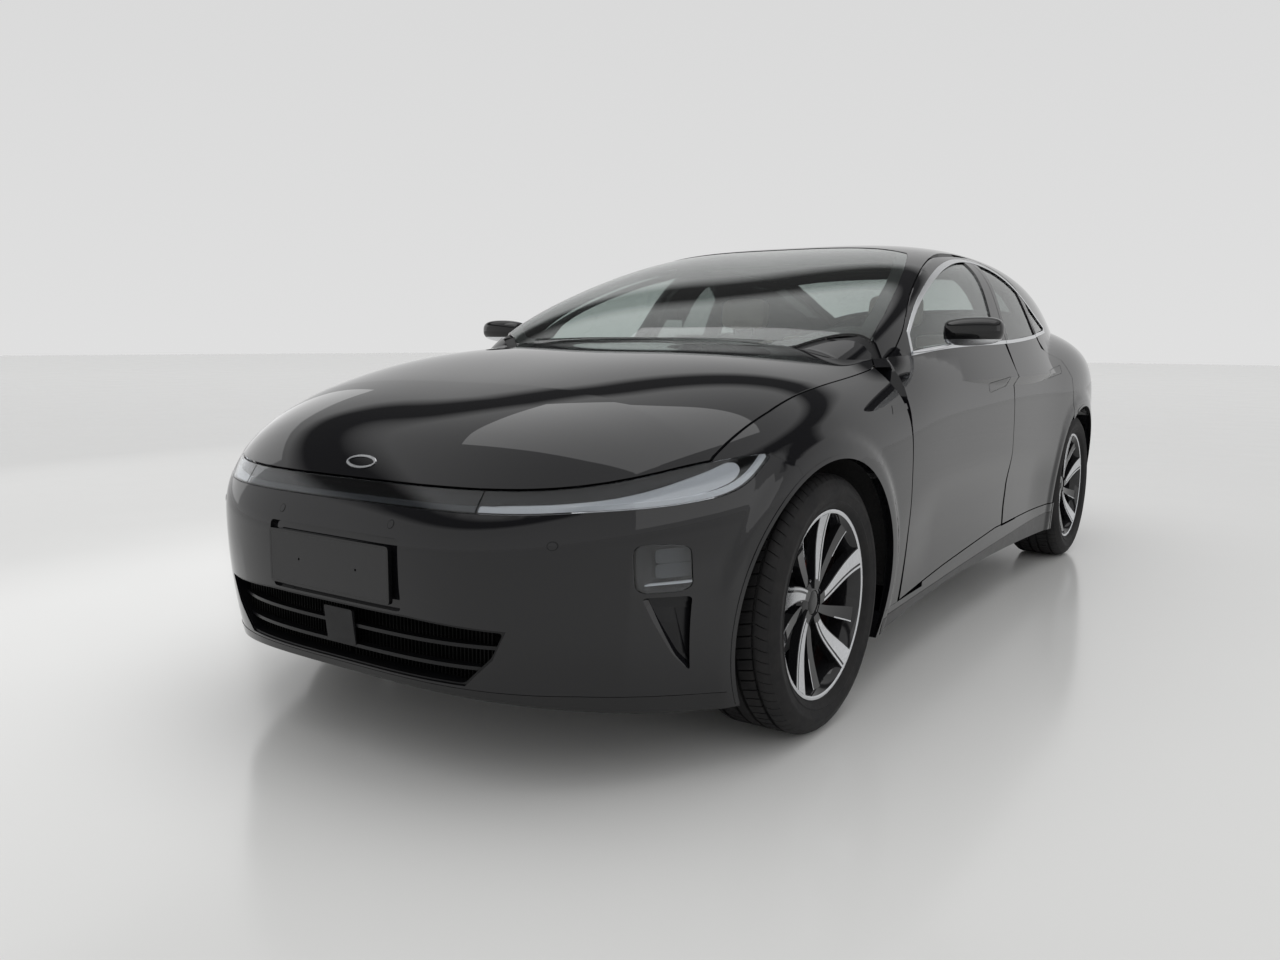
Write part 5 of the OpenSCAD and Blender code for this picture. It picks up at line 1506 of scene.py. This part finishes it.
            lines.append(carved("edge", wall(-0.0015, -0.0015, 0.020, 0.020), [ring_hole, low],
                                arches(ARCH_R) + [side(DOOR_BAND, GAP)]))
        one = joined("edges", lines)
        finished(joined("arch_edges", [mirror_copy(one, "e"), one]), "root", "gloss_black", mat("paint"))

    def cowl(self):
        cover = carved("cowl", wall(0.012, 0.012, 0.020, 0.020),
                       [plan([(0, y_at(12.9)), (0.42, y_at(13.25)), (0.68, y_at(14.6)),
                              (0.74, y_at(15.6)), (0.60, y_at(15.2)), (0.42, y_at(13.95)),
                              (0, y_at(13.6))], 0, BELT_Z - 0.2)])
        finished(named(cover, "cowl_cover"), "root", "black_plastic", mat("plastic"))
        zone = [(DOOR_FRONT - 0.03, 0.93), (DOOR_FRONT + 0.06, 0.94), (DOOR_FRONT + 0.20, 1.02),
                (DOOR_FRONT + 0.20, 1.09), (DOOR_FRONT - 0.03, 1.06)]
        corner = carved("corner", wall(0.006, 0.006, 0.022, 0.022), [side(zone)],
                        [side(DOOR_BAND, GAP), plan(WINDSCREEN, 0.002, BELT_Z - 0.4),
                         plan(BONNET, 0.004),
                         nose_disc(FRONT_HINGE, FRONT_NOSE + GAP, HINGE_TOP + GAP)])
        finished(joined("cowl_corners", [mirror_copy(corner, "c"), corner]), "root", "black_plastic",
                 mat("plastic"))


HEM_LOW = 0.165
CAD_LOOKS = {"front_structure": "underbody", "rear_structure": "underbody", "floor_pan": "underbody",
             "battery_pack": "cast", "front_axle_frame": "underbody", "rear_axle_frame": "underbody",
             "drive_units": "cast", "knuckle_left": "cast", "knuckle_right": "cast"}


class MakeRunningGear(bpy.types.Operator):
    """Finishes the structure and running gear, and builds the calipers"""
    bl_idname = "saloon.gear"
    bl_label = "Running gear"

    def execute(self, context):
        for node, look in CAD_LOOKS.items():
            me = frame["nodes"][node].data
            me.materials.clear()
            me.materials.append(mat(look))
        x = WHEEL_X - 0.018
        profile = [(0.116, x + 0.0003), (0.188, x + 0.0003), (0.1914, x - 0.003), (0.1914, x - 0.064),
                   (0.1945, x - 0.064), (0.1955, x - 0.002), (0.190, x + 0.0045), (0.150, x + 0.0060),
                   (0.118, x + 0.0035)]
        rear = []
        for s, hand in ((1, "left"), (-1, "right")):
            for axle in (FRONT_AXLE, REAR_AXLE):
                cover = revolve("cover", profile, (0, axle, AXLE_Z), 36, "X", math.radians(56),
                                math.radians(68))
                if s < 0:
                    cover.data.transform(Matrix.Scale(-1, 4, (1, 0, 0)))
                    cover.data.flip_normals()
                if axle == FRONT_AXLE:
                    finished(named(cover, f"caliper_{hand}"), f"knuckle_{hand}", "steel", mat("caliper"),
                             soften=0.0008)
                else:
                    rear.append(cover)
        finished(joined("rear_calipers", rear), "root", "steel", mat("caliper"), soften=0.0008)
        return {"FINISHED"}


# ---- cabin ----

def cushion_form(name, size, centre, bulge=0.5, tilt=0.0):
    """Closed pillow shape: a box crowned on every face, its sides drawn in between the corners."""
    bm = bmesh.new()
    bmesh.ops.create_cube(bm, size=1)
    bmesh.ops.subdivide_edges(bm, edges=bm.edges, cuts=7, use_grid_fill=True)
    a, b, c = (s / 2 for s in size)
    for v in bm.verts:
        u = Vector((v.co.x * 2, v.co.y * 2, v.co.z * 2))
        k = 6
        r = (abs(u.x) ** k + abs(u.y) ** k + abs(u.z) ** k) ** (1 / k)
        p = u / r
        crown_z = (1 - p.x ** 2) * (1 - p.y ** 2)
        v.co = Vector((p.x * a * (1 - 0.05 * (1 - p.y ** 2)), p.y * b * (1 - 0.05 * (1 - p.x ** 2)),
                       p.z * c * (1 + bulge * crown_z - 0.10)))
    me = bpy.data.meshes.new(name)
    bm.to_mesh(me)
    bm.free()
    me.transform(Matrix.Translation(centre) @ Matrix.Rotation(tilt, 4, "X"))
    o = bpy.data.objects.new(name, me)
    bpy.context.scene.collection.objects.link(o)
    return o


def stuffed(o, pressure=4.0, most=0.010, voxel=0.0065):
    """Swells a closed form like a filled cushion, each point by no more than most."""
    m = o.modifiers.new("even", "REMESH")
    m.mode, m.voxel_size = "VOXEL", voxel
    flattened(o)
    before = np.zeros(len(o.data.vertices) * 3)
    o.data.vertices.foreach_get("co", before)
    cloth = o.modifiers.new("cloth", "CLOTH")
    cloth.settings.use_pressure = True
    cloth.settings.uniform_pressure_force = pressure
    cloth.settings.effector_weights.gravity = 0
    cloth.settings.quality = 4
    cloth.point_cache.frame_start, cloth.point_cache.frame_end = 1, 20
    scene = bpy.context.scene
    for f in range(1, 21):
        scene.frame_set(f)
    flattened(o)
    scene.frame_set(1)
    after = np.zeros(len(before))
    o.data.vertices.foreach_get("co", after)
    move = (after - before).reshape(-1, 3)
    far = np.linalg.norm(move, axis=1)[:, None]
    move *= np.minimum(1, most / np.maximum(far, 1e-9))
    o.data.vertices.foreach_set("co", (before.reshape(-1, 3) + move).ravel())
    o.data.update()
    m = o.modifiers.new("even", "SUBSURF")
    m.levels = m.render_levels = 1
    return flattened(o)


def channelled(o, lines, axis, depth=0.006, width=0.012):
    """Presses sewn channels into a cushion's top along planes of constant axis."""
    co = np.zeros(len(o.data.vertices) * 3)
    nr = np.zeros(len(co))
    o.data.vertices.foreach_get("co", co)
    o.data.vertices.foreach_get("normal", nr)
    co, nr = co.reshape(-1, 3), nr.reshape(-1, 3)
    for at_line in lines:
        k = np.exp(-((co[:, axis] - at_line) / width * 1.6) ** 2)
        co -= nr * (k * depth)[:, None]
    o.data.vertices.foreach_set("co", co.ravel())
    o.data.update()
    return o


class MakeCabin(bpy.types.Operator):
    """Builds the seats, dashboard, steering wheel and linings"""
    bl_idname = "saloon.cabin"
    bl_label = "Cabin"

    def execute(self, context):
        self.front_seats()
        self.rear_seat()
        self.dashboard()
        self.wheel()
        self.linings()
        return {"FINISHED"}

    def pad(self, name, o, slot_fill=0.6, replaces=()):
        finished(o, "root", "seat", mat("leather"), replaces, angle=60)
        return named(o, name)

    def front_seats(self):
        y, top, x = y_at(24.6), 0.56, 0.370
        lean = math.atan2(0.17, 0.58)
        cushion = cushion_form("cushion", (0.315, 0.50, 0.125), (x, y + 0.005, top - 0.098), 0.10, -0.06)
        side_pads = [cushion_form("bolster", (0.085, 0.47, 0.150),
                                  (x + s * 0.205, y + 0.005, top - 0.085), 0.05, -0.06)
                     for s in (1, -1)]
        back = cushion_form("back", (0.315, 0.105, 0.56), (x, y + 0.322, top + 0.195), 0.0, -lean)
        back_pads = [cushion_form("wing", (0.075, 0.125, 0.50), (x + s * 0.190, y + 0.302, top + 0.16),
                                  0.0, -lean)
                     for s in (1, -1)]
        head = cushion_form("head", (0.235, 0.070, 0.150), (x, y + 0.437, top + 0.625), 0.0, -0.1)
        for name, form, most in (("cushion", cushion, 0.006), ("back", back, 0.006),
                                 ("headrest", head, 0.005)):
            stuffed(form, most=most)
            if name == "cushion":
                channelled(form, [y - 0.10, y + 0.0, y + 0.10], 1, 0.004)
            if name == "back":
                channelled(form, [top + 0.05, top + 0.17, top + 0.29], 2, 0.004)
            mirror = mirror_copy(form, f"seat_{name}_right")
            self.pad(f"seat_{name}_left", form, 0.6, ["front_seats"] if name == "cushion" else ())
            self.pad(f"seat_{name}_right", mirror)
        for name, pads in (("cushion_sides", side_pads), ("back_sides", back_pads)):
            one = joined(name, [smooth_more(p, 1) for p in pads])
            mirror = mirror_copy(one, f"seat_{name}_right")
            self.pad(f"seat_{name}_left", one)
            self.pad(f"seat_{name}_right", mirror)
        shells = []
        for s in (1, -1):
            shells.append(smooth_more(cushion_form("shell", (0.45, 0.05, 0.50),
                                                   (s * x, y + 0.385, top + 0.17), 0.0,
                                                   -lean), 1))
            shells.append(box("base", (s * x - 0.19, y - 0.17, 0.2705), (s * x + 0.19, y + 0.19, 0.405)))
            for d in (-0.05, 0.05):
                shells.append(revolve("post", [(0, top + 0.46), (0.007, top + 0.46),
                                               (0.007, top + 0.585),
                                               (0, top + 0.585)], (s * x + d, y + 0.425, 0), 20, "Z"))
        finished(joined("seat_frames", shells), "root", "dash", mat("dash"), angle=50, soften=0.004)

    def rear_seat(self):
        y0, y1 = y_at(30.5), y_at(35.0)
        base = cushion_form("base", (1.19, y1 - y0 - 0.05, 0.115), (0, (y0 + y1) / 2 - 0.035, 0.462),
                            0.05, 0.05)
        lean = math.atan2(0.085, 0.5)
        back = cushion_form("back", (1.17, 0.085, 0.50), (0, y_at(34.95), 0.742), 0.0, -lean)
        for name, form in (("bench", base), ("backrest", back)):
            stuffed(form, most=0.005, voxel=0.009)
            channelled(form, [-0.21, 0.21], 0, 0.007, 0.016)
            self.pad(f"rear_{name}", form, 0.6, ["rear_seat"] if name == "bench" else ())
        for s in (1, -1):
            head = cushion_form("head", (0.25, 0.058, 0.078), (s * 0.36, y_at(35.3) + 0.033, 1.052), 0.0)
            self.pad(f"rear_headrest_{'left' if s > 0 else 'right'}", stuffed(head, most=0.003))
        box_low = box("plinth", (-0.56, y_at(31.3), 0.2705), (0.56, y_at(34.6), 0.405))
        finished(named(box_low, "rear_plinth"), "root", "dash", mat("carpet"), soften=0.004)

    def dashboard(self):
        y0 = DOOR_FRONT - 0.045 + 0.022
        top = spline_outline([(y0, 0.70), (y0, 0.935), (y0 + 0.14, 0.950), (y_at(18.4) + 0.10, 0.940),
                              (y_at(18.6) + 0.085, 0.905), (y_at(18.6) + 0.060, 0.84),
                              (y_at(18.6) + 0.052, 0.74), (y_at(18.6) + 0.03, 0.705),
                              (y0 + 0.06, 0.660)], 6)
        body = prism("dash", top, -0.638, 0.638, "side")
        finished(named(body, "dash_top"), "root", "dash", mat("dash"), ["dashboard"], soften=0.006)
        y = y_at(18.6)
        strip = prism("strip", [(y + 0.050, 0.800), (y + 0.066, 0.803), (y + 0.070, 0.858),
                                (y + 0.056, 0.862)],
                      -0.60, 0.60, "side")
        finished(named(strip, "dash_strip"), "root", "bright_trim", mat("bright"), soften=0.002)
        screen = prism("screen", rounded([(-0.18, 0), (0.18, 0), (0.18, 0.150), (-0.18, 0.150)], 0.012),
                       0, 0.016,
                       "front")
        screen.data.transform(Matrix.Translation((0, y_at(19.4) + 0.001, 0.93))
                              @ Matrix.Rotation(math.radians(-12), 4, "X"))
        finished(named(screen, "centre_display"), "root", "dash", mat("screen"), soften=0.002)
        y1, y2 = y_at(20.5), y_at(28.2)
        console = prism("console", rounded([(y1, 0.2705), (y2, 0.2705), (y2, 0.562), (y1 + 0.10, 0.570),
                                            (y1, 0.50)], 0.03), -0.108, 0.108, "side")
        rest = smooth_more(cushion_form("rest", (0.20, 0.34, 0.045), (0, y2 - 0.20, 0.556), 0.05, 0), 1)
        low_part = prism("low", [(y_at(18.0), 0.2705), (y_at(20.6), 0.2705), (y_at(20.6), 0.33),
                                 (y_at(18.0) + 0.10, 0.33), (y_at(18.0) + 0.10, 0.70),
                                 (y_at(18.0), 0.70)], -0.108, 0.108, "side")
        finished(joined("console", [console, low_part]), "root", "dash", mat("dash"), soften=0.004)
        finished(named(rest, "console_armrest"), "root", "seat", mat("leather"), angle=60)

    def wheel(self):
        joint = next(j for j in frame["joints"] if j["child"] == "steering_wheel")
        axis = Vector(joint["axis"]).normalized()
        centre = Vector((0.370, y_at(22.4), 0.870))
        turn = axis.to_track_quat("Y", "Z").to_matrix().to_4x4()
        place = Matrix.Translation(centre) @ turn
        ring_r, tube = 0.169, 0.0155
        rim = revolve("rim", [(ring_r + tube * math.cos(a), tube * math.sin(a))
                              for a in np.linspace(0, 2 * math.pi, 20, endpoint=False)], (0, 0, 0), 96,
                      "Y")
        hub = cushion_form("hub", (0.135, 0.060, 0.098), (0, -0.012, 0), 0.0)
        smooth_more(hub, 1)
        spokes = []
        for a in (0, math.pi, -math.pi / 2):
            d = Vector((math.cos(a), 0, math.sin(a)))
            spokes.append(sweep_bar("spoke", [tuple(d * 0.045 + Vector((0, -0.012, 0))),
                                              tuple(d * 0.11 + Vector((0, -0.010, 0))),
                                              tuple(d * (ring_r - 0.003))], 0.034, 0.014, (0, 1, 0)))
        for o, name, slot, look in ((rim, "steering_rim", "dash", "dash"),
                                    (hub, "steering_hub", "dash", "dash"),
                                    (joined("spokes", spokes), "steering_spokes", "bright_trim",
                                     "bright")):
            o.data.transform(place)
            finished(named(o, name), "steering_wheel", slot, mat(look),
                     ["steering_wheel"] if name == "steering_rim" else (), angle=60)
        column = revolve("column", [(0, -0.330), (0.032, -0.330), (0.034, -0.10), (0.030, -0.047),
                                    (0, -0.047)],
                         (0, 0, 0), 40, "Y")
        column.data.transform(Matrix.Scale(-1, 4, (0, 1, 0)))
        column.data.flip_normals()
        column.data.transform(place)
        if lowest(column) > centre.z:
            column.data.transform(place.inverted())
            column.data.transform(Matrix.Scale(-1, 4, (0, 1, 0)))
            column.data.flip_normals()
            column.data.transform(place)
        finished(named(column, "steering_column"), "root", "dash", mat("dash"), angle=50)

    def linings(self):
        roof = carved("headliner", wall(0.0305, 0.0305, 0.034, 0.034), [plan(ROOF, -0.01, BELT_Z)])
        finished(named(roof, "headliner"), "root", "seat", mat("lining"))
        y0, y1 = DOOR_FRONT + 0.02, y_at(36.5)
        mat_piece = box("carpet", (-0.635, y0, 0.2702), (0.635, y1, 0.2765))
        finished(named(mat_piece, "floor_carpet"), "root", "underbody", mat("carpet"))


def lowest(o):
    return min(v.co.z for v in o.data.vertices)


# ---- stage ----

class MakeStage(bpy.types.Operator):
    """Sets the floor, the studio light and the camera"""
    bl_idname = "saloon.stage"
    bl_label = "Stage"

    def execute(self, context):
        scene = context.scene
        scene.view_settings.view_transform = "Standard"
        floor = mesh_object("floor", [(-60, -60, 0), (60, -60, 0), (60, 60, 0), (-60, 60, 0)],
                            [(0, 1, 2, 3)])
        sh = Shader("pale floor", base_color=(0.78, 0.78, 0.77), roughness=0.16)
        sh.rough(sh.noise(1.5, 3), 0.13, 0.20)
        floor.data.materials.append(sh.mat)
        floor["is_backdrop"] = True
        self.world(scene)
        for name, where, aim, size, power in (
                ("ceiling panel", (0, -0.8, 4.6), (0, -0.8, 0), (5.5, 3.2), 60),
                ("left wall", (6.5, -1.5, 2.4), (0, 0, 0.8), (5, 3), 25),
                ("right wall", (-6.5, -0.5, 2.4), (0, 0, 0.8), (5, 3), 25)):
            lamp = bpy.data.lights.new(name, "AREA")
            lamp.shape, lamp.size, lamp.size_y, lamp.energy = "RECTANGLE", size[0], size[1], power
            o = bpy.data.objects.new(name, lamp)
            o.location = where
            o.rotation_euler = (Vector(aim) - Vector(where)).to_track_quat("-Z", "Y").to_euler()
            scene.collection.objects.link(o)
        cam = bpy.data.cameras.new("camera")
        cam.lens, cam.sensor_width = 28.97, 36
        cam.clip_end = 200
        o = bpy.data.objects.new("camera", cam)
        turn = (Matrix.Rotation(math.radians(34.4), 4,
                                "Z") @ Matrix.Rotation(math.radians(90 - 7.68), 4, "X")
                @ Matrix.Rotation(math.radians(0.4), 4, "Z"))
        o.matrix_world = Matrix.Translation((2.02, -4.05, 1.05)) @ turn
        scene.collection.objects.link(o)
        scene.camera = o
        return {"FINISHED"}

    def world(self, scene):
        world = bpy.data.worlds.new("studio")
        scene.world = world
        world.use_nodes = True
        t = world.node_tree
        back = next(n for n in t.nodes if n.type == "BACKGROUND")
        out = next(n for n in t.nodes if n.type == "OUTPUT_WORLD")
        back.inputs["Color"].default_value = (0.80, 0.80, 0.80, 1)
        back.inputs["Strength"].default_value = 0.90
        shown = t.nodes.new("ShaderNodeBackground")
        coord, split = t.nodes.new("ShaderNodeTexCoord"), t.nodes.new("ShaderNodeSeparateXYZ")
        ramp = t.nodes.new("ShaderNodeValToRGB")
        t.links.new(coord.outputs["Generated"], split.inputs[0])
        t.links.new(split.outputs["Z"], ramp.inputs["Fac"])
        marks = ramp.color_ramp.elements
        marks[0].position, marks[0].color = 0.0, (0.74, 0.74, 0.74, 1)
        marks[1].position, marks[1].color = 1.0, (0.62, 0.62, 0.62, 1)
        for position, v in ((0.30, 0.70), (0.50, 0.64), (0.55, 0.06), (0.62, 0.06), (0.67, 0.72)):
            e = marks.new(position)
            e.color = (v, v, v, 1)
        t.links.new(ramp.outputs["Color"], shown.inputs["Color"])
        path = t.nodes.new("ShaderNodeLightPath")
        one, two = t.nodes.new("ShaderNodeMath"), t.nodes.new("ShaderNodeMath")
        one.operation = two.operation = "MAXIMUM"
        t.links.new(path.outputs["Is Camera Ray"], one.inputs[0])
        t.links.new(path.outputs["Is Glossy Ray"], one.inputs[1])
        t.links.new(one.outputs[0], two.inputs[0])
        t.links.new(path.outputs["Is Transmission Ray"], two.inputs[1])
        mix = t.nodes.new("ShaderNodeMixShader")
        t.links.new(two.outputs[0], mix.inputs[0])
        t.links.new(back.outputs[0], mix.inputs[1])
        t.links.new(shown.outputs[0], mix.inputs[2])
        t.links.new(mix.outputs[0], out.inputs["Surface"])


class SaloonSidebar(bpy.types.Panel):
    """Lists the car's groups of pieces in the sidebar"""
    bl_idname = "VIEW3D_PT_saloon"
    bl_label = "Saloon car"
    bl_space_type = "VIEW_3D"
    bl_region_type = "UI"
    bl_category = "Saloon"

    def draw(self, context):
        for key in SETTINGS:
            settings = getattr(context.scene, key)
            for name in settings.__annotations__:
                self.layout.prop(settings, name)
        for operator in OPERATORS:
            self.layout.operator(operator.bl_idname)


SETTINGS = {"saloon_panels": SaloonPanels, "saloon_glass": SaloonGlass, "saloon_wheels": SaloonWheels,
            "saloon_cabin": SaloonCabin}
OPERATORS = [MakePanels, MakeDoors, MakeGlass, MakeLamps, MakeWheels, MakeFace, MakeRunningGear,
             MakeCabin,
             MakeStage]


def register():
    for c in (*SETTINGS.values(), *OPERATORS, SaloonSidebar):
        bpy.utils.register_class(c)
    for key, group in SETTINGS.items():
        setattr(bpy.types.Scene, key, bpy.props.PointerProperty(type=group))


def unregister():
    for key in SETTINGS:
        delattr(bpy.types.Scene, key)
    for c in (SaloonSidebar, *OPERATORS[::-1], *list(SETTINGS.values())[::-1]):
        bpy.utils.unregister_class(c)


def clear_tools():
    """Removes the solids that the panels were cut with, which ride on nothing."""
    for o in list(bpy.context.scene.objects):
        if o.type == "MESH" and not body_of(o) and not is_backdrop(o):
            bpy.data.objects.remove(o)


def main():
    register()
    make_materials()
    for operator in OPERATORS:
        area, name = operator.bl_idname.split(".")
        getattr(getattr(bpy.ops, area), name)()
        bpy.context.view_layer.update()
    clear_tools()


if __name__ == "__main__":
    main()
